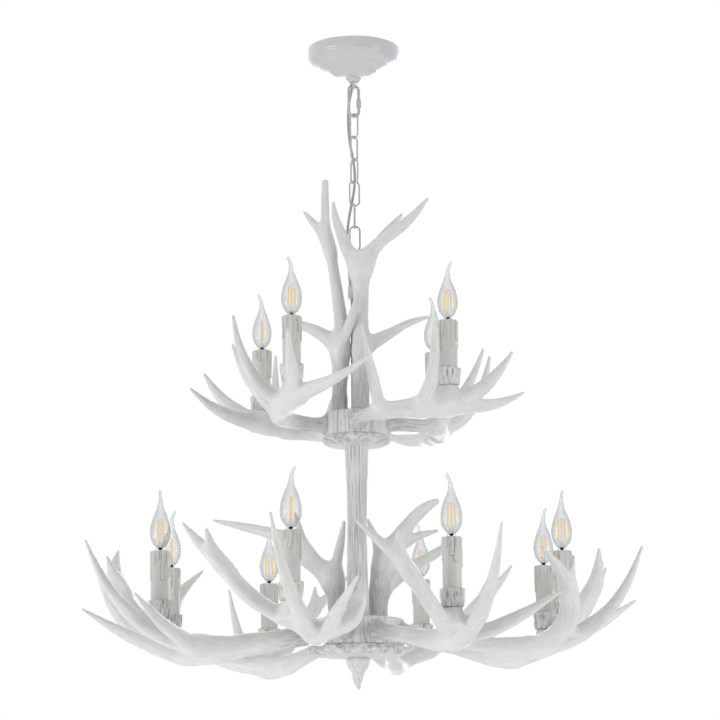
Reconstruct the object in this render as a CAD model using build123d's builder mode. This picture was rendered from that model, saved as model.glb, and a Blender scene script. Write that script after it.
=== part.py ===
"""White two-tier antler chandelier with twelve candle lights, hung on a chain.

Millimetres, +Z up. The origin is the middle of the canopy's rim, in the plane of the ceiling,
and everything hangs below it. The front of the light looks along -Y.
"""

import os
from math import cos, radians, sin

from build123d import *

os.makedirs("parts", exist_ok=True)

# ---------------------------------------------------------------- driving dimensions
SLIP = 0.3  # air between two pieces that touch on round faces

# ceiling end
CANOPY_R = 78.0
CANOPY_DEPTH = 52.0
CANOPY_WALL = 1.5
CANOPY_FLOOR_R = 24.0
BAR_LENGTH = 110.0
BAR_WIDTH = 20.0
BAR_THICK = 2.5
BAR_DROP = 10.0
BAR_MIDDLE = 44.0
SLOT_SPACING = 70.0
SLOT_LENGTH = 14.0
SLOT_R = 2.5
NIPPLE_R = 5.0
NIPPLE_BORE_R = 3.5
NUT_FLATS = 14.0
NUT_THICK = 4.0
BELL_R = 13.0
BELL_FOOT_R = 9.0
BELL_HEIGHT = 7.0

# chain, from the ceiling down
LOOP_INNER_R = 6.0
LOOP_WIRE_R = 2.2
LOOP_NECK_R = 7.2
QUICK_LENGTH = 60.0
QUICK_WIDTH = 23.0
QUICK_WIRE_R = 2.5
QUICK_TURN = 20.0
QUICK_GAP = 6.0
QUICK_SLEEVE_R = 4.2
QUICK_SLEEVE_LENGTH = 14.0
LINK_LENGTH = 46.0
LINK_WIDTH = 20.0
LINK_WIRE_R = 1.5
LINK_TURNS = [-42.0, 52.0, -48.0, 18.0, 88.0, 0.0]  # twist of each link about the chain
RING_INNER_R = 8.5
RING_WIRE_R = 1.9

# supply cord
CORD_R = 2.3
CORD_EXIT = (3.0, 18.6)
CORD_PORT_R = 8.6  # the coupling's cord port, this far left of the stem's middle

# stem and hubs
STEM_R = 8.0
STEM_BORE_R = 6.0
NECK_R = 5.0
COUPLING_R = 12.5
COUPLING_HEIGHT = 22.0
COUPLING_TOP = -418.0
UPPER_HUB_TOP = -636.0
UPPER_HUB_R = 52.5
UPPER_HUB_HEIGHT = 40.0
UPPER_PLATE_R = 55.0
LOWER_HUB_TOP = -981.0
LOWER_HUB_R = 75.0
LOWER_HUB_HEIGHT = 45.0
LOWER_PLATE_R = 82.0
PLATE_THICK = 14.0
BARK_GROOVE_R = 1.6
TRUNK_TOP_R = 18.5
TRUNK_WAIST_R = 15.0
TRUNK_FOOT_R = 17.5
FINIAL_R = 17.0
FINIAL_LENGTH = 56.0

# antler roots
SPIGOT_R = 10.0
SPIGOT_LENGTH = 14.0
BURR_R = 16.5
BURR_LENGTH = 7.0
SEAT_DEPTH = 3.0  # how deep a burr is let into the hub's side
UPRIGHT_SPIGOT_UPPER = 7.0
UPRIGHT_SPIGOT_LOWER = 18.0
SCREW_R = 2.2
SCREW_HEAD_R = 4.4
SCREW_HEAD = 3.0
SCREW_BITE = 10.0

# candle lights
UPPER_RING_R = 195.0
LOWER_RING_R = 345.0
UPPER_CANDLE_TOP = -505.0
LOWER_CANDLE_TOP = -877.0
CANDLE_HEIGHT = 108.0  # from the antler's seat to the top of the sleeve
SEAT_R = 14.5
SEAT_HEIGHT = 33.0
SEAT_FLARE = 11.0  # how far, in degrees, the seat spreads down into the antler
CUP_HEIGHT = 27.0
CUP_R = 18.5
CUP_FOOT_R = 16.6
CUP_FLOOR = 4.0
CUP_FLUTES = 16
CUP_ROOM = 2.0  # clear of the antler round the cup
SLEEVE_R = 14.5
SLEEVE_WALL = 1.4
HOLDER_R = 12.0
HOLDER_HEIGHT = 42.0
HOLDER_BELOW_TOP = 6.0
BULB_R = 17.6
BULB_HEIGHT = 92.0
BULB_NECK_R = 9.0
CAP_R = 6.9
CAP_LENGTH = 24.0

# Where each light stands round the axis, in degrees from +X towards +Y.
LOWER_LIGHTS = [-65.0, -16.0, 23.0, 71.0, 117.0, 157.0, 204.0, 253.0]
LOWER_DROPS = [10.0, 5.0, 1.0, 0.0, 8.0, 0.0, 6.0, 0.0]  # how far each stands below the ring
UPPER_LIGHTS = [-39.0, 46.0, 146.0, 238.0]
# How far each antler leans from its mould: about its beam, across it, and round its root.
LOWER_LEANS = [(0, 1, 0), (9, 1, -2), (1, 0, 1), (-1, -1, 1), (-4, 1, -1), (1, -1, 3), (-1, 0, 0),
               (-1, -1, -1)]
UPPER_LEANS = [(1, 2, -1), (-1, 4, 1), (0, -3, 0), (1, -2, 0)]
UPPER_ROOT_TURN = -47.0  # an upper antler leaves the hub this far round from its light
BULB_TURNS = [20, 205, 75, 160, 300, 130, 250, 0, 190, 100, 330, 45]

UPPER_ROOT_Z = UPPER_HUB_TOP - UPPER_HUB_HEIGHT / 2
LOWER_ROOT_Z = LOWER_HUB_TOP - LOWER_HUB_HEIGHT / 2
UPPER_PLATE_TOP = UPPER_HUB_TOP - UPPER_HUB_HEIGHT
LOWER_PLATE_TOP = LOWER_HUB_TOP - LOWER_HUB_HEIGHT
TRUNK_TOP = UPPER_PLATE_TOP - PLATE_THICK
FINIAL_TOP = LOWER_PLATE_TOP - PLATE_THICK


# ---------------------------------------------------------------- antler moulds
# A branch is a list of (out, round, up, thickness radius), in the antler's own axes: out from
# the stem, round it anticlockwise, and up from the beam's root.
LOWER_MOULD = {
    "beam": [(76, 0, 0, 14), (110, 0, -7, 12.5), (190, 6, -19, 14), (250, 16, -29, 15.5),
             (300, 28, -30, 17)],
    "outer tine": [(250, 16, -29, 14), (320, 26, -26, 17), (385, 27, 2, 13.5), (440, 22, 57, 8.5),
                   (477, 16, 130, 2.6)],
    "fork branch": [(285, 25, -29, 14), (328, -5, -13, 17), (365, -50, 17, 17),
                    (381, -100, 70, 15.5), (374, -140, 107, 10), (358, -172, 138, 2.6)],
    "fork tine": [(374, -88, 58, 11), (388, -110, 94, 8), (396, -118, 122, 2.4)],
    "inner tine": [(285, 26, -30, 13), (335, 64, -20, 13), (390, 104, 6, 8.8), (437, 142, 37, 2.4)],
}
FRONT_EXTRA = {
    "palm tine": [(300, 48, -26, 15), (322, 96, -10, 15), (328, 110, 20, 10), (332, 114, 51, 2.4)],
}
UPPER_MOULD = {
    "beam": [(36.2, -38.7, 0, 14), (43, -46, 0, 13), (76, -67, 1, 12), (112, -75, 3, 14),
             (142, -61, 6, 15), (168, -32, 11, 17.5), (190, 5, 16, 16)],
    "long tine": [(168, -32, 11, 15), (196, 15, 15, 16), (212, 62, 20, 12.5), (220, 112, 31, 8.5),
                  (225, 166, 53, 2.6)],
    "outer tine": [(185, -5, 14, 15), (235, 28, 38, 13), (265, 42, 68, 8), (286, 53, 101, 2.6)],
    "middle tine": [(165, -36, 10, 15), (200, -56, 38, 12.5), (226, -76, 88, 8.5),
                    (237, -87, 153, 2.6)],
    "brow tine": [(112, -74, 4, 13), (124, -98, 32, 11.5), (135, -130, 76, 8),
                  (140, -156, 134, 2.6)],
}
# The standing antlers, in the lamp's own axes, from the top of their hub.
UPPER_LEFT = {
    "beam": [(-28, 2, 0, 14), (-27, 1, 55, 13.4), (-25, 0, 108, 14.3), (-24, 2, 152, 11.8),
             (-29, 4, 196, 10.4), (-36, 5, 244, 9.7), (-43, 6, 290, 8.9), (-49, 6, 330, 8.1),
             (-50, 6, 371, 7.2), (-50, 6, 404, 5.4)],
    "front tine": [(-26, 0, 98, 11), (-17, -25, 126, 9.2), (-6, -53, 151, 7.6),
                   (1, -60, 175, 5.2), (5, -62, 193, 2.1)],
    "side tine": [(-27, 0, 106, 12), (-47, 4, 127, 12), (-70, 8, 143, 10), (-90, 10, 152, 7.6),
                  (-114, 12, 165, 2.5)],
    "back tine": [(-42, 5, 278, 8), (-62, 14, 320, 7.2), (-75, 22, 338, 5.8), (-87, 30, 355, 2.6)],
}
UPPER_RIGHT = {
    "beam": [(8, -28, 0, 14), (8, -29, 52, 14.2), (9, -29, 103, 14.4), (9, -30, 154, 13.4),
             (10, -31, 197, 13.8), (10, -34, 231, 16.8), (11, -36, 250, 17)],
    "left prong": [(9, -34, 238, 15), (-9, -32, 266, 11.4), (-21, -29, 296, 9.4),
                   (-32, -24, 328, 7), (-36, -20, 359, 2.5)],
    "right prong": [(11, -35, 238, 15), (30, -34, 270, 11.8), (56, -34, 294, 10.1),
                    (80, -34, 312, 9.3), (100, -35, 331, 7.4), (124, -36, 360, 2.5)],
    "back prong": [(16, -31, 248, 11.5), (37, -16, 284, 8.9), (60, -1, 317, 7.2), (81, 10, 344, 3)],
    "side tine": [(10, -29, 99, 12), (37, -25, 118, 11.3), (61, -22, 132, 8.6), (91, -17, 149, 6.3),
                  (125, -12, 160, 2.5)],
}
LOWER_LEFT = {
    "beam": [(-35, 24, 0, 14), (-36, 24, 35, 14), (-39, 25, 55, 15), (-41, 26, 73, 17)],
    "inner prong": [(-40, 25, 60, 13), (-35, 25, 93, 9.6), (-28, 24, 126, 7.5), (-21, 25, 167, 2.5)],
    "outer branch": [(-40, 26, 62, 14.5), (-62, 29, 86, 16), (-86, 34, 110, 15.2),
                     (-114, 42, 136, 12), (-155, 52, 152, 9.8), (-197, 60, 163, 6.7),
                     (-243, 66, 174, 2.5)],
    "up tine": [(-82, 33, 107, 12), (-93, 38, 137, 8.4), (-99, 42, 162, 5.9), (-104, 46, 184, 2.5)],
}
LOWER_RIGHT = {
    "beam": [(34, 24, 0, 16), (35, 24, 34, 16.6), (38, 25, 59, 17.6), (44, 25, 88, 19),
             (50, 26, 113, 18)],
    "inner prong": [(45, 27, 80, 13), (36, 29, 122, 9), (25, 31, 150, 5.8), (17, 33, 170, 2.5)],
    "blunt prong": [(46, 25, 90, 16), (63, 25, 129, 13.3), (85, 23, 157, 11.7),
                    (105, 21, 179, 10.4), (124, 20, 192, 7.5), (137, 19, 198, 4.0)],
    "back prong": [(56, 26, 112, 11), (85, 35, 132, 9.2), (112, 46, 145, 5.9), (136, 56, 152, 2.5)],
    "side tine": [(38, 25, 48, 12), (67, 30, 70, 10.8), (94, 36, 90, 10), (121, 42, 106, 9.2),
                  (143, 48, 120, 7.5), (166, 54, 136, 2.5)],
}


def branch(points):
    """One tapering limb: round sections square to a smooth centre line, lofted through."""
    places = [Vector(*point[:3]) for point in points]
    line = Edge.make_spline(places)
    across = (places[1] - places[0]).cross(Vector(0.9, -0.5, 0.1))
    sections = []
    for place, point in zip(places, points):
        along = line.tangent_at(line.param_at_point(place))
        across = (across - along * across.dot(along)).normalized()
        with BuildSketch(Plane(place, x_dir=across, z_dir=along)) as section:
            Circle(point[3])
        sections.append(section.sketch)
    loft(sections)


def rod(place, radius, length, direction=(0, 0, 1), mode=Mode.ADD):
    """A round bar from a place along a direction."""
    with BuildSketch(Plane(place, z_dir=direction)) as disc:
        Circle(radius)
    extrude(disc.sketch, amount=length, mode=mode)


def spin(*points, mode=Mode.ADD):
    """A turned shape from its outline, as (radius, height) corners."""
    with BuildSketch(Plane.XZ) as outline:
        with BuildLine():
            Polyline(*points, close=True)
        make_face()
    revolve(outline.sketch, axis=Axis.Z, mode=mode)


def write(name, *solids):
    """Gives a piece, or a group of the same piece, its name and its file."""
    shape = solids[0] if len(solids) == 1 else Compound(children=list(solids))
    shape.label = name
    export_step(shape, f"parts/{name}.step")


def polar(radius, angle, height):
    """A place this far out from the stem and this far round it."""
    return (radius * cos(radians(angle)), radius * sin(radians(angle)), height)


# ---------------------------------------------------------------- ceiling end
def canopy_outline(wall):
    """The canopy's shape without its wall, or the hollow inside for a wall."""
    rim = CANOPY_R - wall
    floor = -CANOPY_DEPTH + wall
    inset = wall * 0.8
    with BuildSketch(Plane.XZ) as outline:
        with BuildLine():
            Polyline((0, floor), (0, 0), (rim, 0), (rim, -15))
            ThreePointArc((rim, -15), (rim - 1.9, -22 + inset / 2), (rim - 8, -27 + inset))
            Polyline((rim - 8, -27 + inset), (rim - 16, -29 + inset), (rim - 18, -31 + inset))
            ThreePointArc((rim - 18, -31 + inset), (rim - 25, -36 + inset), (rim - 34, -38 + inset))
            Line((rim - 34, -38 + inset), (rim - 38, -40 + inset))
            ThreePointArc((rim - 38, -40 + inset), (rim - 45, -47 + wall), (CANOPY_FLOOR_R, floor))
            Line((CANOPY_FLOOR_R, floor), (0, floor))
        make_face()
    return outline.sketch


with BuildPart() as canopy:
    revolve(canopy_outline(0), axis=Axis.Z)
    revolve(canopy_outline(CANOPY_WALL), axis=Axis.Z, mode=Mode.SUBTRACT)
    rod((0, 0, -CANOPY_DEPTH - 1), NIPPLE_R + SLIP, 4, mode=Mode.SUBTRACT)
    rod((*CORD_EXIT, -CANOPY_DEPTH - 1), CORD_R + 1.9, 4, mode=Mode.SUBTRACT)
write("canopy", canopy.part)

# The crossbar is a strip pressed into a shallow hat, its two ends flat on the ceiling.
half = BAR_LENGTH / 2
middle = BAR_MIDDLE / 2
with BuildPart() as crossbar:
    with BuildSketch(Plane.XZ):
        with BuildLine():
            Polyline((-half, 0), (-middle - 5, 0), (-middle, -BAR_DROP), (middle, -BAR_DROP),
                     (middle + 5, 0), (half, 0), (half, -BAR_THICK),
                     (middle + 6.6, -BAR_THICK), (middle + 1.6, -BAR_DROP - BAR_THICK),
                     (-middle - 1.6, -BAR_DROP - BAR_THICK), (-middle - 6.6, -BAR_THICK),
                     (-half, -BAR_THICK), close=True)
        make_face()
    extrude(amount=BAR_WIDTH / 2, both=True)
    with BuildSketch(Plane.XY.offset(0.5)):
        with Locations((-SLOT_SPACING / 2, 0), (SLOT_SPACING / 2, 0)):
            SlotOverall(SLOT_LENGTH, 2 * SLOT_R)
    extrude(amount=-BAR_THICK - 1, mode=Mode.SUBTRACT)
    rod((0, 0, -BAR_DROP - BAR_THICK - 1), NIPPLE_R + SLIP, BAR_THICK + 2, mode=Mode.SUBTRACT)
    fillet(crossbar.edges().filter_by(Axis.Z), 3)
write("crossbar", crossbar.part)

nipple_end = -CANOPY_DEPTH - 4
with BuildPart() as canopy_nipple:
    rod((0, 0, nipple_end), NIPPLE_R, -nipple_end - BAR_DROP + NUT_THICK + 1)
    rod((0, 0, nipple_end - 1), NIPPLE_BORE_R, -nipple_end, mode=Mode.SUBTRACT)
write("canopy_nipple", canopy_nipple.part)

with BuildPart() as nipple_nut:
    with BuildSketch():
        RegularPolygon(NUT_FLATS / 2, 6, major_radius=False)
        Circle(NIPPLE_R + SLIP, mode=Mode.SUBTRACT)
    extrude(amount=NUT_THICK)
write("nipple_nuts", nipple_nut.part.moved(Pos(0, 0, -BAR_DROP)),
      nipple_nut.part.moved(Pos(0, 0, -BAR_DROP - BAR_THICK - NUT_THICK)))

# The bell nut under the canopy, round the neck of the loop.
bell_foot = -CANOPY_DEPTH - BELL_HEIGHT
with BuildPart() as canopy_bell:
    spin((LOOP_NECK_R + SLIP, -CANOPY_DEPTH), (BELL_R, -CANOPY_DEPTH),
         (BELL_R, -CANOPY_DEPTH - 1.5), (BELL_FOOT_R + 1.5, bell_foot + 2.5),
         (BELL_FOOT_R, bell_foot), (LOOP_NECK_R + SLIP, bell_foot))
write("canopy_bell", canopy_bell.part)

loop_z = bell_foot - 2.0
loop_r = LOOP_INNER_R + LOOP_WIRE_R
with BuildPart() as canopy_loop:
    spin((0, -CANOPY_DEPTH), (LOOP_NECK_R, -CANOPY_DEPTH), (LOOP_NECK_R, bell_foot),
         (BELL_FOOT_R - 0.5, bell_foot), (BELL_FOOT_R - 0.5, bell_foot - 1.5), (0, bell_foot - 1.5))
    rod((0, 0, nipple_end), NIPPLE_R + SLIP, 10, mode=Mode.SUBTRACT)
    with BuildLine():
        Line((0, -loop_r, bell_foot - 1.4), (0, -loop_r, loop_z))
        ThreePointArc((0, -loop_r, loop_z), (0, 0, loop_z - loop_r), (0, loop_r, loop_z))
        Line((0, loop_r, loop_z), (0, loop_r, bell_foot - 1.4))
    with BuildSketch(Plane((0, -loop_r, bell_foot - 1.4), z_dir=(0, 0, -1))):
        Circle(LOOP_WIRE_R)
    sweep()
write("canopy_loop", canopy_loop.part)

with BuildPart() as cord_grommet:
    rod((*CORD_EXIT, -CANOPY_DEPTH - 1.5), CORD_R + 2.4, 1.5)
    rod((*CORD_EXIT, -CANOPY_DEPTH), CORD_R + 1.6, CANOPY_WALL)
    rod((*CORD_EXIT, -CANOPY_DEPTH + CANOPY_WALL), CORD_R + 2.4, 1.5)
    rod((*CORD_EXIT, -CANOPY_DEPTH - 2), CORD_R + SLIP, 8, mode=Mode.SUBTRACT)
write("cord_grommet", cord_grommet.part)


# ---------------------------------------------------------------- chain
def link(length, width, wire, gap=None):
    """An oval link standing in XZ with its top wire at the origin, maybe with a gap on +X."""
    reach = width / 2 - wire
    straight = length - width
    foot = -reach - straight
    with BuildPart() as oval:
        with BuildLine():
            if gap:
                Line((reach, 0, -reach - gap[0]), (reach, 0, -reach))
            else:
                Line((reach, 0, foot), (reach, 0, -reach))
            ThreePointArc((reach, 0, -reach), (0, 0, 0), (-reach, 0, -reach))
            Line((-reach, 0, -reach), (-reach, 0, foot))
            ThreePointArc((-reach, 0, foot), (0, 0, foot - reach), (reach, 0, foot))
            if gap:
                Line((reach, 0, foot), (reach, 0, -reach - gap[1]))
        start = -reach - gap[0] if gap else foot
        with BuildSketch(Plane((reach, 0, start), z_dir=(0, 0, 1))):
            Circle(wire)
        sweep()
    return oval.part


quick_top = loop_z - loop_r + LOOP_WIRE_R + QUICK_WIRE_R + SLIP
gap_top = (QUICK_LENGTH - QUICK_WIDTH) / 2 - 2
quick_pose = Pos(0, 0, quick_top) * Rot(0, 0, QUICK_TURN)
quick = link(QUICK_LENGTH, QUICK_WIDTH, QUICK_WIRE_R, (gap_top, gap_top + QUICK_GAP))
write("quick_link", quick.moved(quick_pose))

quick_leg = QUICK_WIDTH / 2 - QUICK_WIRE_R
sleeve_top = -quick_leg - gap_top + 1
with BuildPart() as quick_link_sleeve:
    spin((QUICK_WIRE_R + SLIP, sleeve_top), (QUICK_SLEEVE_R - 0.6, sleeve_top),
         (QUICK_SLEEVE_R, sleeve_top - 1), (QUICK_SLEEVE_R, sleeve_top - QUICK_SLEEVE_LENGTH + 1),
         (QUICK_SLEEVE_R - 0.6, sleeve_top - QUICK_SLEEVE_LENGTH),
         (QUICK_WIRE_R + SLIP, sleeve_top - QUICK_SLEEVE_LENGTH))
write("quick_link_sleeve", quick_link_sleeve.part.moved(quick_pose * Pos(quick_leg, 0, 0)))

quick_foot = quick_top - QUICK_LENGTH + 2 * QUICK_WIRE_R
link_drop = LINK_LENGTH - 2 * LINK_WIRE_R
pitch = link_drop - 2 * LINK_WIRE_R - SLIP
first_link = quick_foot + QUICK_WIRE_R + LINK_WIRE_R + SLIP
one_link = link(LINK_LENGTH, LINK_WIDTH, LINK_WIRE_R)
for number, turn in enumerate(LINK_TURNS):
    pose = Pos(0, 0, first_link - number * pitch) * Rot(0, 0, turn)
    write(f"chain_link_{number + 1}", one_link.moved(pose))
chain_foot = first_link - (len(LINK_TURNS) - 1) * pitch - link_drop

# The ring the light hangs by, its rod, and the coupling that takes the stem and the cord.
ring_top = chain_foot + LINK_WIRE_R + RING_WIRE_R + SLIP
ring_r = RING_INNER_R + RING_WIRE_R
ring_z = ring_top - ring_r
coupling_foot = COUPLING_TOP - COUPLING_HEIGHT
stem_top = COUPLING_TOP - 8
with BuildPart() as top_ring:
    with Locations(Plane((0, 0, ring_z), x_dir=(0, 1, 0), z_dir=(1, 0, 0))):
        Torus(ring_r, RING_WIRE_R)
    rod((0, 0, COUPLING_TOP), NECK_R, ring_z - ring_r - COUPLING_TOP)
    spin((0, COUPLING_TOP), (COUPLING_R - 1, COUPLING_TOP), (COUPLING_R, COUPLING_TOP - 1),
         (COUPLING_R, coupling_foot + 1.5), (COUPLING_R - 1.5, coupling_foot), (0, coupling_foot))
    rod((0, 0, coupling_foot - 1), STEM_R + SLIP, stem_top - coupling_foot + 1, mode=Mode.SUBTRACT)
    rod((-CORD_PORT_R, 0, COUPLING_TOP - 6), CORD_R + SLIP, 10, mode=Mode.SUBTRACT)
write("top_ring", top_ring.part)

# ---------------------------------------------------------------- supply cord
cord_route = [
    (*CORD_EXIT, -CANOPY_DEPTH + 12), (3.0, 18, -72), (-2, 15.5, -100), (-7.5, 13, -128),
    (-8.5, 12.2, -156), (-3.5, 13, -184), (1, 13.4, -212), (0.5, 13, -240), (-4.5, 12.6, -268),
    (-10, 11.2, -296), (-13.2, 8.4, -324), (-14, 5.4, -352), (-11.6, 2, -380),
    (-CORD_PORT_R, 0, -404), (-CORD_PORT_R, 0, COUPLING_TOP - 6),
]
cord_radii = []
for before, corner, after in zip(cord_route, cord_route[1:], cord_route[2:]):
    arriving = Vector(*corner) - Vector(*before)
    leaving = Vector(*after) - Vector(*corner)
    turn = radians(arriving.get_angle(leaving))
    shorter = min(arriving.length, leaving.length)
    cord_radii.append(0.45 * shorter / (sin(turn / 2) / cos(turn / 2)))
print("cord radii", [round(radius) for radius in cord_radii])
with BuildPart() as supply_cord:
    with BuildLine() as cord_line:
        FilletPolyline(*cord_route, radius=cord_radii)
    with BuildSketch(Plane(cord_route[0], z_dir=Vector(*cord_route[1]) - Vector(*cord_route[0]))):
        Circle(CORD_R)
    sweep()
cord_length = cord_line.wires()[0].length
print("cord length", round(cord_length, 1), "volume share",
      round(supply_cord.part.volume / (cord_length * 3.14159 * CORD_R**2), 4))
write("supply_cord", supply_cord.part)


# ---------------------------------------------------------------- roots and sockets
class Root:
    """Where an antler meets its hub: a place on the hub and the way out of it."""

    def __init__(self, place, out, spigot, screw_head, screw_place):
        self.place = Vector(*place)
        self.out = Vector(*out)
        self.spigot = spigot
        self.screw_head = screw_head
        self.screw_place = screw_place

    def grow(self):
        """The burr and the spigot on the antler, with the hole its screw bites into."""
        rod(self.place, BURR_R, BURR_LENGTH - 1.5, self.out)
        rod(self.place, BURR_R - 1.5, BURR_LENGTH, self.out)
        rod(self.place, SPIGOT_R, self.spigot, -self.out)
        self.drill(SCREW_R + SLIP, 0.5)

    def cut(self):
        """The socket for them in the hub, and the screw's way through it."""
        rod(self.place, BURR_R + SLIP, BURR_LENGTH + 6, self.out, mode=Mode.SUBTRACT)
        rod(self.place, SPIGOT_R + SLIP, self.spigot + SLIP, -self.out, mode=Mode.SUBTRACT)
        self.drill(SCREW_R + SLIP, 0.5)

    def drill(self, radius, extra):
        """The screw's hole, straight up from below the plate."""
        x, y, tip = self.screw_place
        rod((x, y, self.screw_head), radius, tip + extra - self.screw_head, mode=Mode.SUBTRACT)

    def counterbore(self):
        """The screw's hole and the recess for its head in the plate."""
        self.drill(SCREW_R + SLIP, 0.5)
        x, y, _ = self.screw_place
        recess = SCREW_HEAD_R + SLIP
        rod((x, y, self.screw_head - 1), recess, SCREW_HEAD + 1, mode=Mode.SUBTRACT)

    def screw(self):
        """The screw itself."""
        x, y, tip = self.screw_place
        with BuildPart() as bolt:
            rod((x, y, self.screw_head), SCREW_HEAD_R, SCREW_HEAD)
            rod((x, y, self.screw_head), SCREW_R, tip - self.screw_head)
            with BuildSketch(Plane((x, y, self.screw_head))):
                RegularPolygon(1.6, 6, major_radius=False)
            extrude(amount=1.8, mode=Mode.SUBTRACT)
        return bolt.part


def side_root(hub_r, angle, root_z, screw_head):
    """A root in a hub's side."""
    seat = hub_r - SEAT_DEPTH
    screw = polar(seat - SPIGOT_LENGTH / 2, angle, root_z + 3)
    return Root(polar(seat, angle, root_z), polar(1, angle, 0), SPIGOT_LENGTH, screw_head, screw)


def top_root(place, hub_top, spigot, screw_head):
    """A root in a hub's top."""
    screw = (place[0], place[1], hub_top - spigot + SCREW_BITE)
    return Root((place[0], place[1], hub_top), (0, 0, 1), spigot, screw_head, screw)


upper_screw_head = TRUNK_TOP
lower_screw_head = FINIAL_TOP
upper_roots = [
    side_root(UPPER_HUB_R, light + UPPER_ROOT_TURN, UPPER_ROOT_Z, upper_screw_head)
    for light in UPPER_LIGHTS
]
lower_roots = [
    side_root(LOWER_HUB_R, light, LOWER_ROOT_Z, lower_screw_head) for light in LOWER_LIGHTS
]
upright_roots = {
    "upper_left": top_root(UPPER_LEFT["beam"][0], UPPER_HUB_TOP, UPRIGHT_SPIGOT_UPPER,
                           upper_screw_head),
    "upper_right": top_root(UPPER_RIGHT["beam"][0], UPPER_HUB_TOP, UPRIGHT_SPIGOT_UPPER,
                            upper_screw_head),
    "lower_left": top_root(LOWER_LEFT["beam"][0], LOWER_HUB_TOP, UPRIGHT_SPIGOT_LOWER,
                           lower_screw_head),
    "lower_right": top_root(LOWER_RIGHT["beam"][0], LOWER_HUB_TOP, UPRIGHT_SPIGOT_LOWER,
                            lower_screw_head),
}


# ---------------------------------------------------------------- stem, hubs and trunk
stem_foot = FINIAL_TOP - 12
with BuildPart() as centre_tube:
    rod((0, 0, stem_foot), STEM_R, stem_top - stem_foot)
    rod((0, 0, stem_foot - 1), STEM_BORE_R, stem_top - stem_foot + 2, mode=Mode.SUBTRACT)
write("centre_tube", centre_tube.part)


def hub(radius, top, height, roots, angles):
    """A round block with bark grooves between the sockets in its side."""
    with BuildPart() as block:
        spin((STEM_R + SLIP, top), (radius - 2, top), (radius, top - 2), (radius, top - height),
             (STEM_R + SLIP, top - height))
        for root in roots:
            root.cut()
        ordered = sorted(angle % 360 for angle in angles)
        for angle, after in zip(ordered, ordered[1:] + [ordered[0] + 360]):
            for share in (-0.09, 0.0, 0.09):
                groove = polar(radius + 0.4, (angle + after) / 2 + share * (after - angle), top + 1)
                rod(groove, BARK_GROOVE_R, height + 2, (0, 0, -1), mode=Mode.SUBTRACT)
    return block.part


def plate(radius, top, roots):
    """A rough-edged disc under a hub, with the screws' recesses in its underside."""
    with BuildPart() as disc:
        spin((STEM_R + SLIP, top), (radius - 1.5, top), (radius, top - 3), (radius - 1, top - 7),
             (radius, top - 11), (radius - 2, top - PLATE_THICK),
             (STEM_R + SLIP, top - PLATE_THICK))
        for root in roots:
            root.counterbore()
    return disc.part


upper_all = upper_roots + [upright_roots["upper_left"], upright_roots["upper_right"]]
lower_all = lower_roots + [upright_roots["lower_left"], upright_roots["lower_right"]]
write("upper_hub", hub(UPPER_HUB_R, UPPER_HUB_TOP, UPPER_HUB_HEIGHT, upper_all,
                       [light + UPPER_ROOT_TURN for light in UPPER_LIGHTS]))
write("upper_plate", plate(UPPER_PLATE_R, UPPER_PLATE_TOP, upper_all))
write("lower_hub", hub(LOWER_HUB_R, LOWER_HUB_TOP, LOWER_HUB_HEIGHT, lower_all, LOWER_LIGHTS))
write("lower_plate", plate(LOWER_PLATE_R, LOWER_PLATE_TOP, lower_all))
write("antler_screws", *[root.screw() for root in upper_all + lower_all])

with BuildPart() as trunk:
    waist_z = (TRUNK_TOP + LOWER_HUB_TOP) / 2
    with BuildSketch(Plane.XZ):
        with BuildLine():
            Spline((TRUNK_TOP_R, TRUNK_TOP), (TRUNK_WAIST_R, waist_z),
                   (TRUNK_FOOT_R, LOWER_HUB_TOP))
            Polyline((TRUNK_FOOT_R, LOWER_HUB_TOP), (STEM_R + SLIP, LOWER_HUB_TOP),
                     (STEM_R + SLIP, TRUNK_TOP), (TRUNK_TOP_R, TRUNK_TOP))
        make_face()
    revolve(axis=Axis.Z)
write("trunk", trunk.part)

with BuildPart() as finial:
    spin((0, FINIAL_TOP), (13, FINIAL_TOP), (13.5, FINIAL_TOP - 5), (11, FINIAL_TOP - 7),
         (11, FINIAL_TOP - 9), (FINIAL_R - 2, FINIAL_TOP - 12), (FINIAL_R, FINIAL_TOP - 18),
         (FINIAL_R - 2, FINIAL_TOP - 27), (10, FINIAL_TOP - 37), (0, FINIAL_TOP - 37))
    branch([(0, 0, FINIAL_TOP - 30, 11), (1, -0.5, FINIAL_TOP - 40, 9),
            (5, -2, FINIAL_TOP - 49, 5.5), (11, -3, FINIAL_TOP - FINIAL_LENGTH + 2, 2.4)])
    rod((0, 0, stem_foot), STEM_R + SLIP, 20, mode=Mode.SUBTRACT)
write("finial", finial.part)


# ---------------------------------------------------------------- antlers
def cast(mould):
    """All limbs of a mould as one piece, in the mould's own axes."""
    with BuildPart() as limbs:
        for points in mould.values():
            branch(points)
    return limbs.part


def side_antler(limbs, seat_r, lean, root_z, ring_r, candle_top, drop, angle, root):
    """An antler with its candle seat, leaned, turned to its light and set on its root."""
    lean_pose = Pos(seat_r, 0, 0) * Rot(*lean) * Pos(-seat_r, 0, 0)
    with BuildPart() as antler:
        add(limbs.moved(Pos(0, 0, root_z) * lean_pose).moved(Rot(0, 0, angle)))
        seat = polar(ring_r, angle, candle_top - drop - CANDLE_HEIGHT)
        with BuildSketch(Plane(seat, z_dir=(0, 0, -1))) as pad:
            Circle(SEAT_R)
        extrude(pad.sketch, amount=SEAT_HEIGHT, taper=-SEAT_FLARE)
        root.grow()
        rod(seat, NIPPLE_R + SLIP, 14, (0, 0, -1), mode=Mode.SUBTRACT)
        rod(seat, CUP_R + CUP_ROOM, CUP_HEIGHT - 7 + drop, mode=Mode.SUBTRACT)
    return antler.part


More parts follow.
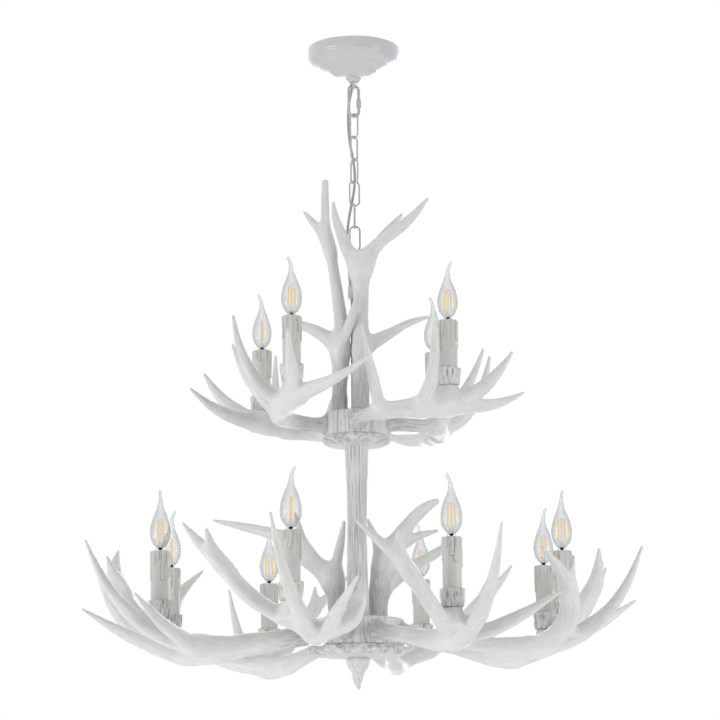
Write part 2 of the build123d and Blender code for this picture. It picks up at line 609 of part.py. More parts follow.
lower_limbs = cast(LOWER_MOULD)
front_limbs = cast(LOWER_MOULD | FRONT_EXTRA)
for number, (light, drop, lean, root) in enumerate(zip(LOWER_LIGHTS, LOWER_DROPS, LOWER_LEANS,
                                                       lower_roots)):
    limbs = front_limbs if number == 7 else lower_limbs
    piece = side_antler(limbs, LOWER_HUB_R, lean, LOWER_ROOT_Z, LOWER_RING_R, LOWER_CANDLE_TOP,
                        drop, light, root)
    write(f"lower_antler_{number + 1}", piece)

upper_limbs = cast(UPPER_MOULD)
for number, (light, lean, root) in enumerate(zip(UPPER_LIGHTS, UPPER_LEANS, upper_roots)):
    piece = side_antler(upper_limbs, UPPER_HUB_R, lean, UPPER_ROOT_Z, UPPER_RING_R,
                        UPPER_CANDLE_TOP, 0, light, root)
    write(f"upper_antler_{number + 1}", piece)

for side, mould, hub_top in (("upper_left", UPPER_LEFT, UPPER_HUB_TOP),
                             ("upper_right", UPPER_RIGHT, UPPER_HUB_TOP),
                             ("lower_left", LOWER_LEFT, LOWER_HUB_TOP),
                             ("lower_right", LOWER_RIGHT, LOWER_HUB_TOP)):
    with BuildPart() as upright:
        add(cast(mould).moved(Pos(0, 0, hub_top + 2)))
        upright_roots[side].grow()
    write(f"{side}_upright", upright.part)

# ---------------------------------------------------------------- candle lights
# Each piece is made once, with the antler's seat at the origin, and then set on every seat.
with BuildPart() as cup:
    spin((NIPPLE_R + SLIP, 0), (CUP_FOOT_R, 0), (CUP_R, CUP_HEIGHT - 3), (CUP_R, CUP_HEIGHT),
         (SLEEVE_R + 1.2, CUP_HEIGHT), (SLEEVE_R + SLIP, CUP_HEIGHT - 2),
         (SLEEVE_R + SLIP, CUP_FLOOR), (NIPPLE_R + SLIP, CUP_FLOOR))
    lean_in = (CUP_R - CUP_FOOT_R) / (CUP_HEIGHT - 3)
    for flute in range(CUP_FLUTES):
        angle = 360 * flute / CUP_FLUTES
        outward = polar(1, angle, 0)
        foot = Vector(*polar(CUP_FOOT_R + 0.5, angle, 0)) - Vector(0, 0, 1)
        slope = Vector(outward[0] * lean_in, outward[1] * lean_in, 1).normalized()
        rod(foot, 1.2, CUP_HEIGHT - 1, slope, mode=Mode.SUBTRACT)

with BuildPart() as candle:
    spin((SLEEVE_R - SLEEVE_WALL, CUP_FLOOR), (SLEEVE_R, CUP_FLOOR), (SLEEVE_R, CANDLE_HEIGHT - 1),
         (SLEEVE_R - 0.7, CANDLE_HEIGHT), (SLEEVE_R - SLEEVE_WALL, CANDLE_HEIGHT))

holder_top = CANDLE_HEIGHT - HOLDER_BELOW_TOP
holder_foot = holder_top - HOLDER_HEIGHT
cap_foot = CANDLE_HEIGHT - CAP_LENGTH
with BuildPart() as holder:
    rod((0, 0, holder_foot), HOLDER_R, HOLDER_HEIGHT)
    chamfer(holder.edges().filter_by(GeomType.CIRCLE), 1)
    rod((0, 0, cap_foot), CAP_R + SLIP + 0.1, CAP_LENGTH, mode=Mode.SUBTRACT)
    rod((0, 0, holder_foot - 1), NIPPLE_R + SLIP, 9, mode=Mode.SUBTRACT)

with BuildPart() as candle_nipple:
    rod((0, 0, -14), NIPPLE_R, 14 + holder_foot + 8)
    rod((0, 0, -15), NIPPLE_BORE_R, 16 + holder_foot + 8, mode=Mode.SUBTRACT)

with BuildPart() as bulb:
    top = CANDLE_HEIGHT
    with BuildSketch(Plane.XZ):
        with BuildLine():
            Polyline((0, top + 62), (0, cap_foot), (2.5, cap_foot), (2.5, cap_foot + 1.5),
                     (CAP_R, cap_foot + 3.5), (CAP_R, top + 2), (BULB_NECK_R, top + 4.5))
            Spline((BULB_NECK_R, top + 4.5), (14.3, top + 12), (BULB_R, top + 24),
                   (15.4, top + 40), (11, top + 52), (6.2, top + 62),
                   tangents=((0.35, 1), (-0.3, 1)))
            Line((6.2, top + 62), (0, top + 62))
        make_face()
    revolve(axis=Axis.Z)
    branch([(0, 0, top + 58, 6.4), (0.4, 0, top + 66, 4.6), (2.2, 0, top + 77, 3.2),
            (5.6, 0, top + 86, 2.4), (8.6, 0, top + BULB_HEIGHT, 1.4)])

seats = [Pos(*polar(LOWER_RING_R, light, LOWER_CANDLE_TOP - drop - CANDLE_HEIGHT))
         for light, drop in zip(LOWER_LIGHTS, LOWER_DROPS)]
seats += [Pos(*polar(UPPER_RING_R, light, UPPER_CANDLE_TOP - CANDLE_HEIGHT))
          for light in UPPER_LIGHTS]
write("candle_cups", *[cup.part.moved(seat) for seat in seats])
write("candle_sleeves", *[candle.part.moved(seat) for seat in seats])
write("lamp_holders", *[holder.part.moved(seat) for seat in seats])
write("candle_nipples", *[candle_nipple.part.moved(seat) for seat in seats])
for number, (seat, turn) in enumerate(zip(seats, BULB_TURNS)):
    write(f"bulb_{number + 1}", bulb.part.moved(seat * Rot(0, 0, turn)))
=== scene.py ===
"""The look of a white cast-resin antler chandelier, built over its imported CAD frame."""

import math

import bmesh
import bpy
import numpy as np
from mathutils import Matrix, Vector


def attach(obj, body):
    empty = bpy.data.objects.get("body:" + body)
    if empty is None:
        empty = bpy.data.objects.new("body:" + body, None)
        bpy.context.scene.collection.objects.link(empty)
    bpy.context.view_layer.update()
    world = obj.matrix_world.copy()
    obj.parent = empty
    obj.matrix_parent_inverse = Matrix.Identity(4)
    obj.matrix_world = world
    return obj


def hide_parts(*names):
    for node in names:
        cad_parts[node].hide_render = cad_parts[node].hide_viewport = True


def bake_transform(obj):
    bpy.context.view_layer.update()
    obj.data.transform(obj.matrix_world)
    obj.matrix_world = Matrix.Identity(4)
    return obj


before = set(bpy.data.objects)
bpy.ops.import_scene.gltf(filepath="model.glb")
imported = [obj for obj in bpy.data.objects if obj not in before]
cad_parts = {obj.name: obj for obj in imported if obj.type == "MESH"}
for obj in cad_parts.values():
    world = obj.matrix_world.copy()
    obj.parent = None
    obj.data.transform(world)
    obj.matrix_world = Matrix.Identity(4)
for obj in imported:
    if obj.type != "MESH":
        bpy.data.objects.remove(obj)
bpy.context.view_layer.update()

# ------------------------------------------------------------------ camera
# The photograph was taken from a little below, far back, with a long lens. The light leans in it
# by half a degree.
MM = 0.001
EYE = (7.1, -4323, -1425)  # millimetres
LOOK_UP, ROLL = 11.51, -0.46  # degrees
lens = bpy.data.cameras.new("photo_camera")
lens.sensor_width = 36.0
lens.lens = 131.3
lens.clip_end = 60.0
eye = bpy.data.objects.new("photo_camera", lens)
bpy.context.scene.collection.objects.link(eye)
eye.matrix_world = (
    Matrix.Translation([c * MM for c in EYE])
    @ Matrix.Rotation(math.radians(90 + LOOK_UP), 4, "X")
    @ Matrix.Rotation(math.radians(ROLL), 4, "Z")
)
bpy.context.scene.camera = eye


# ------------------------------------------------------------------ canopy
# A spun steel cup with two steps and a groove under its rim, in satin white enamel. It sits
# against the ceiling, held by the bell nut on the threaded nipple.
def linear(hex_colour):
    """sRGB hex to linear red, green and blue with alpha 1."""
    parts = [int(hex_colour[i : i + 2], 16) / 255 for i in (1, 3, 5)]
    bent = [c / 12.92 if c <= 0.04045 else ((c + 0.055) / 1.055) ** 2.4 for c in parts]
    return (*bent, 1.0)


def add_node(material, kind, settings=None, **links):
    """One node of this kind, with its settings, and its inputs set or linked by name."""
    node = material.node_tree.nodes.new(kind)
    for key, value in (settings or {}).items():
        setattr(node, key, value)
    for key, value in links.items():
        socket = node.inputs[int(key[1:]) if key[1:].isdigit() else key.replace("_", " ")]
        if isinstance(value, bpy.types.NodeSocket):
            material.node_tree.links.new(value, socket)
        else:
            socket.default_value = value
    return node


def new_material(name):
    """A material with no nodes yet."""
    material = bpy.data.materials.new(name)
    material.use_nodes = True
    material.node_tree.nodes.clear()
    return material


def noise(material, scale, detail=2.0, roughness=0.5, vector=None, drawn=None):
    """Noise over the object or over a vector, drawn out by a scale for each axis."""
    if vector is None:
        vector = add_node(material, "ShaderNodeTexCoord").outputs["Object"]
    if drawn:
        mapping = add_node(material, "ShaderNodeMapping", Vector=vector, Scale=drawn)
        vector = mapping.outputs["Vector"]
    texture = add_node(material, "ShaderNodeTexNoise", Vector=vector, Scale=scale, Detail=detail,
                       Roughness=roughness)
    return texture.outputs["Fac"]


def bump(material, height, strength, distance, **under):
    """The normal with this height pressed into it, over any normal given."""
    node = add_node(material, "ShaderNodeBump", Height=height, Strength=strength,
                    Distance=distance, **under)
    return node.outputs["Normal"]


def shade(material, **inputs):
    """The material's one shader, joined to its output."""
    shader = add_node(material, "ShaderNodeBsdfPrincipled", **inputs)
    add_node(material, "ShaderNodeOutputMaterial", Surface=shader.outputs[0])


def dress(nodes, material):
    """Gives these CAD nodes, which stay in view, a material."""
    for node in nodes:
        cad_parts[node].data.materials.clear()
        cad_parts[node].data.materials.append(material)


def surface(name, points, faces, material, smooth=True):
    """A mesh object from an array of points in millimetres and an array of faces."""
    mesh = bpy.data.meshes.new(name)
    mesh.from_pydata((np.asarray(points, float) * MM).tolist(), [], faces)
    shell = bmesh.new()
    shell.from_mesh(mesh)
    bmesh.ops.recalc_face_normals(shell, faces=shell.faces)
    shell.to_mesh(mesh)
    shell.free()
    mesh.polygons.foreach_set("use_smooth", [smooth] * len(mesh.polygons))
    mesh.materials.append(material)
    piece = bpy.data.objects.new(name, mesh)
    bpy.context.scene.collection.objects.link(piece)
    return piece


def grid_faces(rows, columns, wrap_rows=False):
    """The quads of a grid of points, closed round its columns."""
    i = np.arange(rows if wrap_rows else rows - 1)[:, None]
    j = np.arange(columns)[None, :]
    a = i * columns + j
    b = i * columns + (j + 1) % columns
    c = ((i + 1) % rows) * columns + (j + 1) % columns
    d = ((i + 1) % rows) * columns + j
    return np.stack([a, b, c, d], -1).reshape(-1, 4).tolist()


def turned(profile, sides, reach=None):
    """A closed profile of (radius, height) carried round the axis. reach may change the radius
    and the height as a function of both and of the angle."""
    profile = np.asarray(profile, float)
    angle = np.linspace(0, 2 * math.pi, sides, endpoint=False)[None, :]
    r = np.repeat(profile[:, :1], sides, 1)
    z = np.repeat(profile[:, 1:], sides, 1)
    if reach:
        r, z = reach(r, z, angle)
    points = np.stack([r * np.cos(angle), r * np.sin(angle), z], -1).reshape(-1, 3)
    return points, grid_faces(len(profile), sides, wrap_rows=True)


def round_corners(corners, radius):
    """A profile's corners rounded: each is cut by a short quadratic bend."""
    corners = [np.array(c, float) for c in corners]
    out = [corners[0]]
    for a, b, c in zip(corners, corners[1:], corners[2:]):
        cut = min(radius, np.linalg.norm(b - a) / 2.1, np.linalg.norm(c - b) / 2.1)
        start = b + (a - b) / np.linalg.norm(a - b) * cut
        end = b + (c - b) / np.linalg.norm(c - b) * cut
        for t in (0, 0.25, 0.5, 0.75, 1):
            out.append(start * (1 - t) ** 2 + 2 * b * t * (1 - t) + end * t**2)
    return out + [corners[-1]]


enamel = new_material("satin_white_enamel_on_steel")
shade(enamel, Base_Color=linear("#D0D0D3"), Roughness=0.28, Coat_Weight=0.6, Coat_Roughness=0.14,
      Normal=bump(enamel, noise(enamel, 900.0), 0.1, 0.0004))

cup_outside = round_corners(
    [(0, -52), (17, -52), (26, -50.4), (33, -47.4), (38.4, -43.8), (41, -41.2), (43.5, -40.6),
     (50.5, -37.6), (57, -33.8), (59.4, -31.6), (62, -30.8), (68, -28), (73, -24.4), (75.4, -21),
     (76.6, -19.6), (77.2, -18.2), (76.4, -16.6), (77.6, -14.8), (78, -1.5), (78, 0)], 1.2)
cup_inside = [(76.5, 0), (76.5, -15), (74, -21.5), (68.5, -25.6), (61, -27.6), (57, -31.5),
              (51, -34.8), (43, -37), (39, -38.5), (35, -43), (29.5, -47.3), (23, -50.2),
              (0, -50.5)]
canopy = surface("canopy_cup", *turned(cup_outside + cup_inside, 160), enamel)
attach(canopy, "ceiling")
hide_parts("canopy")
dress(["canopy_bell"], enamel)


# ------------------------------------------------------------------ chain
# Bent steel wire links and a quick link with a screw sleeve, all lacquered in the same pale
# grey-white. The lacquer pools a little, so the wire is glossy with soft dull patches.
def ramp(material, factor, dark, light, start=0.0, end=1.0):
    """A colour that goes from dark to light as the factor goes from start to end."""
    node = add_node(material, "ShaderNodeValToRGB", Fac=factor)
    for stop, place, colour in zip(node.color_ramp.elements, (start, end), (dark, light)):
        stop.position = place
        stop.color = linear(colour)
    return node.outputs["Color"]


lacquer = new_material("pale_lacquer_on_steel_wire")
pools = noise(lacquer, 260.0, 3.0)
shade(lacquer, Base_Color=ramp(lacquer, pools, "#B2B4B5", "#D2D3D4", 0.3, 0.7), Roughness=0.28,
      Normal=bump(lacquer, pools, 0.25, 0.0003))
chain_links = [f"chain_link_{k}" for k in range(1, 7)]
dress(["canopy_loop", "quick_link", "quick_link_sleeve", "top_ring"] + chain_links, lacquer)

# The thread that shows above the quick link's sleeve is bare dark steel.
THREAD_PITCH = 0.8
LEG_R, LEG_TURN, LEG_Z = 9, math.radians(20), -97.4
thread_wall = [(2.0, -0.5)]
thread_wall += [(2.25 + 0.22 * math.cos(z * 2 * math.pi / THREAD_PITCH), z)
                for z in np.linspace(0, 6.4, 65)]
thread_wall += [(2.0, 7), (0.2, 7), (0.2, -0.5)]
thread_points, thread_faces = turned(thread_wall, 20)
thread_points += np.array([LEG_R * math.cos(LEG_TURN), LEG_R * math.sin(LEG_TURN), LEG_Z])
bare_steel = new_material("bare_cut_steel_thread")
shade(bare_steel, Base_Color=linear("#6C6C6C"), Metallic=1.0, Roughness=0.35)
quick_thread = surface("quick_link_thread", thread_points, thread_faces, bare_steel)
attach(quick_thread, "quick_link")

# ------------------------------------------------------------------ supply cord
# A limp round flex with a pale plastic sheath, from the grommet in the canopy down behind the
# chain to the port in the coupling. It is made in lengths that each cross one contact.
CORD_R = 2.3
cord_route = [
    (3.0, 18.6, -40), (-4.0, 17.6, -68), (-9.5, 14.5, -96), (-10, 12.6, -126), (-8.5, 12.2, -156),
    (-3.5, 13, -184), (1, 13.4, -212), (0.5, 13, -240), (-4.5, 12.6, -268), (-10, 11.2, -296),
    (-13.2, 8.4, -324), (-14, 5.4, -352), (-11.6, 2, -380), (-8.6, 0, -404), (-8.6, 0, -424),
]
cord_curve = bpy.data.curves.new("cord_route", "CURVE")
cord_curve.dimensions = "3D"
cord_spline = cord_curve.splines.new("NURBS")
cord_spline.points.add(len(cord_route) - 1)
for knot, place in zip(cord_spline.points, cord_route):
    knot.co = (*[c * MM for c in place], 1)
cord_spline.order_u = 3
cord_spline.use_endpoint_u = True
cord_spline.resolution_u = 14
cord_line = bpy.data.objects.new("cord_route", cord_curve)
cord_mesh = bpy.data.meshes.new_from_object(cord_line)
cord_points = np.array([v.co for v in cord_mesh.vertices]) / MM
if cord_points[0, 2] < cord_points[-1, 2]:
    cord_points = cord_points[::-1]
bpy.data.objects.remove(cord_line)


def carried(path, radius, sides):
    """A round section carried along a path without twist, closed by a point at each end."""
    path = np.asarray(path, float)
    radius = np.broadcast_to(radius, len(path))
    ahead = np.gradient(path, axis=0)
    ahead /= np.linalg.norm(ahead, axis=1)[:, None]
    side = np.cross(ahead[0], (0.3, 0.9, 0.2))
    sides_list = []
    for direction in ahead:
        side = side - direction * side.dot(direction)
        side /= np.linalg.norm(side)
        sides_list.append(side)
    across = np.array(sides_list)
    other = np.cross(ahead, across)
    angle = np.linspace(0, 2 * math.pi, sides, endpoint=False)[None, :, None]
    ring = across[:, None, :] * np.cos(angle) + other[:, None, :] * np.sin(angle)
    points = (path[:, None, :] + ring * radius[:, None, None]).reshape(-1, 3)
    faces = grid_faces(len(path), sides)
    count, last = len(points), (len(path) - 1) * sides
    points = np.vstack([points, path[0], path[-1]])
    j = np.arange(sides)
    after = (j + 1) % sides
    faces += np.stack([after, np.full(sides, count), j], -1).tolist()
    faces += np.stack([last + j, np.full(sides, count + 1), last + after], -1).tolist()
    return points, faces


flex = new_material("pale_pvc_cord_sheath")
shade(flex, Base_Color=ramp(flex, noise(flex, 120.0), "#A4A9A6", "#B7BBB8"), Roughness=0.4)

cuts = [-39, -94, -138, -178, -217, -257, -297, -336, -425]
for number, (upper, lower) in enumerate(zip(cuts, cuts[1:])):
    inside_cut = (cord_points[:, 2] <= upper) & (cord_points[:, 2] >= lower)
    stretch = cord_points[inside_cut]
    if number:
        stretch = np.vstack([cord_points[~inside_cut & (cord_points[:, 2] > upper)][-1], stretch])
    name = f"supply_cord_{number + 1}"
    piece = surface(name, *carried(stretch, CORD_R, 20), flex)
    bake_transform(piece)
    if number == 0:
        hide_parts("supply_cord")

# ------------------------------------------------------------------ antlers
# Twelve side antlers from two moulds and four standing ones, cast in resin and painted matt
# white. The palms between the tines are webbed, and faint grain runs along every tine.
# A limb is (out, round, up, radius) points, then how flat it is and which way it is flat.
LOWER_LIMBS = {
    "beam": ([(76, 0, 0, 14), (110, 0, -7, 12.5), (190, 6, -19, 14), (250, 16, -29, 15.5),
              (300, 28, -30, 17)], 0.95),
    "outer": ([(250, 16, -29, 12), (320, 26, -26, 16), (385, 27, 2, 13.5), (440, 22, 57, 8.5),
               (477, 16, 130, 2.6)], 0.9),
    "fork": ([(285, 25, -29, 12), (328, -5, -13, 17), (365, -50, 17, 17), (381, -100, 70, 15.5),
              (374, -140, 107, 10), (358, -172, 138, 2.6)], 0.72),
    "fork_side": ([(374, -88, 58, 10), (388, -110, 94, 8), (396, -118, 122, 2.4)], 0.85),
    "inner": ([(285, 26, -30, 11), (335, 64, -20, 13), (390, 104, 6, 8.8),
               (437, 142, 37, 2.4)], 0.85),
}
LOWER_FRONT = {
    "palm": ([(300, 48, -26, 14), (322, 96, -10, 15), (328, 110, 20, 10),
              (332, 114, 51, 2.4)], 0.85),
}
UPPER_LIMBS = {
    "beam": ([(36.2, -38.7, 0, 14), (43, -46, 0, 13), (76, -67, 1, 12), (112, -75, 3, 14),
              (142, -61, 6, 15), (168, -32, 11, 17.5), (190, 5, 16, 16)], 0.95),
    "long": ([(168, -32, 11, 13), (196, 15, 15, 16), (212, 62, 20, 12.5), (220, 112, 31, 8.5),
              (225, 166, 53, 2.6)], 0.9),
    "outer": ([(185, -5, 14, 13), (235, 28, 38, 13), (265, 42, 68, 8), (286, 53, 101, 2.6)], 0.9),
    "middle": ([(165, -36, 10, 13), (200, -56, 38, 12.5), (226, -76, 88, 8.5),
                (237, -87, 153, 2.6)], 0.9),
    "brow": ([(112, -74, 4, 11), (124, -98, 32, 11.5), (135, -130, 76, 8),
              (140, -156, 134, 2.6)], 0.9),
}
UPPER_LEFT = {
    "beam": ([(-28, 2, 0, 14), (-27, 1, 55, 13.4), (-25, 0, 108, 14.3), (-24, 2, 152, 11.8),
              (-29, 4, 196, 10.4), (-36, 5, 244, 9.7), (-43, 6, 290, 8.9), (-49, 6, 330, 8.1),
              (-50, 6, 371, 7.2), (-50, 6, 404, 5.4)], 1),
    "front": ([(-26, 0, 98, 11), (-17, -25, 126, 9.2), (-6, -53, 151, 7.6), (1, -60, 175, 5.2),
               (5, -62, 193, 2.1)], 1),
    "side": ([(-27, 0, 106, 12), (-47, 4, 127, 12), (-70, 8, 143, 10), (-90, 10, 152, 7.6),
              (-114, 12, 165, 2.5)], 1),
    "back": ([(-42, 5, 278, 8), (-62, 14, 320, 7.2), (-75, 22, 338, 5.8), (-87, 30, 355, 2.6)], 1),
}
UPPER_RIGHT = {
    "beam": ([(8, -28, 0, 14), (8, -29, 52, 14.2), (9, -29, 103, 14.4), (9, -30, 154, 13.4),
              (10, -31, 197, 13.8), (10, -34, 231, 16.8), (11, -36, 250, 17)], 1),
    "left": ([(9, -34, 238, 15), (-9, -32, 266, 11.4), (-21, -29, 296, 9.4), (-32, -24, 328, 7),
              (-36, -20, 359, 2.5)], 1),
    "right": ([(11, -35, 238, 15), (30, -34, 270, 11.8), (56, -34, 294, 10.1), (80, -34, 312, 9.3),
               (100, -35, 331, 7.4), (124, -36, 360, 2.5)], 1),
    "back": ([(16, -31, 248, 11.5), (37, -16, 284, 8.9), (60, -1, 317, 7.2), (81, 10, 344, 3)], 1),
    "side": ([(10, -29, 99, 12), (37, -25, 118, 11.3), (61, -22, 132, 8.6), (91, -17, 149, 6.3),
              (125, -12, 160, 2.5)], 1),
}
LOWER_LEFT = {
    "beam": ([(-35, 24, 0, 14), (-36, 24, 35, 14), (-39, 25, 55, 15), (-41, 26, 73, 17)], 1),
    "inner": ([(-40, 25, 60, 13), (-35, 25, 93, 9.6), (-28, 24, 126, 7.5),
               (-21, 25, 167, 2.5)], 1),
    "outer": ([(-40, 26, 62, 14.5), (-62, 29, 86, 16), (-86, 34, 110, 15.2), (-114, 42, 136, 12),
               (-155, 52, 152, 9.8), (-197, 60, 163, 6.7), (-243, 66, 174, 2.5)], 1),
    "up": ([(-82, 33, 107, 12), (-93, 38, 137, 8.4), (-99, 42, 162, 5.9),
            (-104, 46, 184, 2.5)], 1),
}
LOWER_RIGHT = {
    "beam": ([(34, 24, 0, 16), (35, 24, 34, 16.6), (38, 25, 59, 17.6), (44, 25, 88, 19),
              (50, 26, 113, 18)], 1),
    "inner": ([(45, 27, 80, 13), (36, 29, 122, 9), (25, 31, 150, 5.8), (17, 33, 170, 2.5)], 1),
    "blunt": ([(46, 25, 90, 16), (63, 25, 129, 13.3), (85, 23, 157, 11.7), (105, 21, 179, 10.4),
               (124, 20, 192, 7.5), (137, 19, 198, 4)], 1),
    "back": ([(56, 26, 112, 11), (85, 35, 132, 9.2), (112, 46, 145, 5.9), (136, 56, 152, 2.5)], 1),
    "side": ([(38, 25, 48, 12), (67, 30, 70, 10.8), (94, 36, 90, 10), (121, 42, 106, 9.2),
              (143, 48, 120, 7.5), (166, 54, 136, 2.5)], 1),
}
LOWER_LIGHTS = [-65, -16, 23, 71, 117, 157, 204, 253]
LOWER_DROPS = [10, 5, 1, 0, 8, 0, 6, 0]
UPPER_LIGHTS = [-39, 46, 146, 238]
LOWER_LEANS = [(0, 1, 0), (9, 1, -2), (1, 0, 1), (-1, -1, 1), (-4, 1, -1), (1, -1, 3), (-1, 0, 0),
               (-1, -1, -1)]
UPPER_LEANS = [(1, 2, -1), (-1, 4, 1), (0, -3, 0), (1, -2, 0)]
LOWER_RING_R, LOWER_SEAT_Z, UPPER_RING_R, UPPER_SEAT_Z = 345, -985.0, 195.0, -613.0
PALM_LIGHT = 253  # the front left antler, which has one more tine
WEB, SEAT_WEB, ROOT_WEB = 15.0, 12.0, 5.0
SPACING = 2.2


def smooth_line(points, count):
    """A natural cubic through the points, spaced by chord, sampled evenly."""
    points = np.asarray(points, float)
    knots = np.r_[0, np.cumsum(np.linalg.norm(np.diff(points[:, :3], axis=0), axis=1))]
    n = len(knots)
    gaps = np.diff(knots)
    matrix = np.eye(n)
    right = np.zeros((n, points.shape[1]))
    for k in range(1, n - 1):
        matrix[k, k - 1 : k + 2] = gaps[k - 1], 2 * (gaps[k - 1] + gaps[k]), gaps[k]
        slope_in = (points[k] - points[k - 1]) / gaps[k - 1]
        right[k] = 6 * ((points[k + 1] - points[k]) / gaps[k] - slope_in)
    bend = np.linalg.solve(matrix, right)
    t = np.linspace(0, knots[-1], count)
    k = np.clip(np.searchsorted(knots, t, side="right") - 1, 0, n - 2)
    left, width = (t - knots[k])[:, None], gaps[k][:, None]
    back = (knots[k + 1] - t)[:, None]
    out = (
        (bend[k] * back**3 + bend[k + 1] * left**3) / (6 * width)
        + (points[k] / width - bend[k] * width / 6) * back
        + (points[k + 1] / width - bend[k + 1] * width / 6) * left
    )
    if points.shape[1] > 3:
        straight = np.interp(t, knots, points[:, 3])
        out[:, 3] = straight * 0.5 + np.clip(out[:, 3], straight * 0.8, straight * 1.2) * 0.5
    return out


def turn_matrix(x, y, z):
    """The turn about X, then the turned Y, then the turned Z, in degrees."""
    turns = [Matrix.Rotation(math.radians(a), 3, axis) for a, axis in zip((x, y, z), "XYZ")]
    return np.array(turns[0] @ turns[1] @ turns[2])


def together(shapes):
    """Several (points, faces) shapes as one."""
    points, faces, base = [], [], 0
    for more_points, more_faces in shapes:
        points.append(more_points)
        faces += [[i + base for i in face] for face in more_faces]
        base += len(more_points)
    return np.vstack(points), faces


def webbed(one, other, web):
    """The nearer of two surfaces. Where both are about as near, it stands out by up to a
    quarter of the web's width."""
    mix = np.clip(web - np.abs(one - other), 0, None) / web
    return np.minimum(one, other) - mix * mix * web / 4


def store(mesh, name, values):
    """Keeps a number or a vector for each point of the mesh, for its material to read."""
    kind, key = ("FLOAT_VECTOR", "vector") if values.ndim == 2 else ("FLOAT", "value")
    attribute = mesh.attributes.new(name, kind, "POINT")
    attribute.data.foreach_set(key, values.astype(np.float32).ravel())


class Antler:
    """The limbs of one antler as chains of balls along their middle lines."""

    def __init__(self, limbs, place):
        self.middle, self.radius, self.limb, self.start = [], [], [], []
        self.ahead, self.across, self.flat = [], [], []
        travelled = 0.0
        for number, (points, flat) in enumerate(limbs.values()):
            count = 10 + 7 * len(points)
            line = smooth_line(points, count)
            centre = place(line[:, :3])
            ahead = np.gradient(centre, axis=0)
            step = np.linalg.norm(ahead, axis=1)
            ahead /= step[:, None]
            halfway = centre[len(centre) // 2]
            plane_out = np.cross(centre[0] - halfway, centre[-1] - halfway)
            plane_out /= np.linalg.norm(plane_out) + 1e-9
            across = plane_out[None, :] - ahead * (ahead @ plane_out)[:, None]
            across /= np.linalg.norm(across, axis=1)[:, None]
            self.middle.append(centre)
            self.radius.append(line[:, 3])
            self.limb.append(np.full(count, number))
            self.start.append(travelled + np.cumsum(step))
            self.ahead.append(ahead)
            self.across.append(across)
            self.flat.append(np.full(count, flat))
            travelled += 1000.0
        self.count = len(limbs)
        for key in ("middle", "radius", "limb", "start", "ahead", "across", "flat"):
            setattr(self, key, np.concatenate(getattr(self, key)))

    def reach(self, where):
        """How far each place is outside each limb, and its nearest ball. A flat limb's balls are
        squeezed across its plane."""
        gap = where[:, None, :] - self.middle[None]
        across = np.einsum("vsk,sk->vs", gap, self.across)
        squared = np.einsum("vsk,vsk->vs", gap, gap) + across**2 * (self.flat**-2.0 - 1)[None]
        far = np.sqrt(squared) - self.radius[None]
        by_limb = np.stack([far[:, self.limb == k].min(1) for k in range(self.count)], 1)
        return by_limb, far.argmin(1)

    def outside(self, where, posts=()):
        """How far each place is outside the webbed limbs and the posts that they join."""
        by_limb, nearest = self.reach(where)
        total = by_limb[:, 0]
        for k in range(1, self.count):
            total = webbed(total, by_limb[:, k], WEB)
        for post_far, web in posts:
            total = webbed(total, post_far(where), web)
        return total, by_limb, nearest


def post(foot, top, radius_foot, radius_top, edge):
    """How far a place is outside an upright or slanting post with flat ends and rounded edges."""
    foot, top = np.array(foot, float), np.array(top, float)
    axis = (top - foot) / np.linalg.norm(top - foot)
    height = np.linalg.norm(top - foot)

    def far(where):
        up = (where - foot) @ axis
        out = np.linalg.norm(where - foot - up[:, None] * axis, axis=1)
        radius = radius_foot + (radius_top - radius_foot) * np.clip(up / height, 0, 1) - edge
        a, b = out - radius, np.abs(up - height / 2) - (height / 2 - edge)
        corner = np.hypot(np.clip(a, 0, None), np.clip(b, 0, None))
        return corner + np.minimum(np.maximum(a, b), 0) - edge

    return far


def value_noise(*spans, seed=0):
    """Smooth random heights from -1 to 1 at places that wrap round every 64 cells."""
    table = np.random.default_rng(seed).uniform(-1, 1, (64, 64))
    u, v = np.broadcast_arrays(*spans)
    iu, iv = np.floor(u).astype(int), np.floor(v).astype(int)
    fu, fv = u - iu, v - iv
    fu, fv = fu * fu * (3 - 2 * fu), fv * fv * (3 - 2 * fv)
    corner = lambda a, b: table[(iu + a) % 64, (iv + b) % 64]
    return (
        corner(0, 0) * (1 - fu) * (1 - fv) + corner(1, 0) * fu * (1 - fv)
        + corner(0, 1) * (1 - fu) * fv + corner(1, 1) * fu * fv
    )


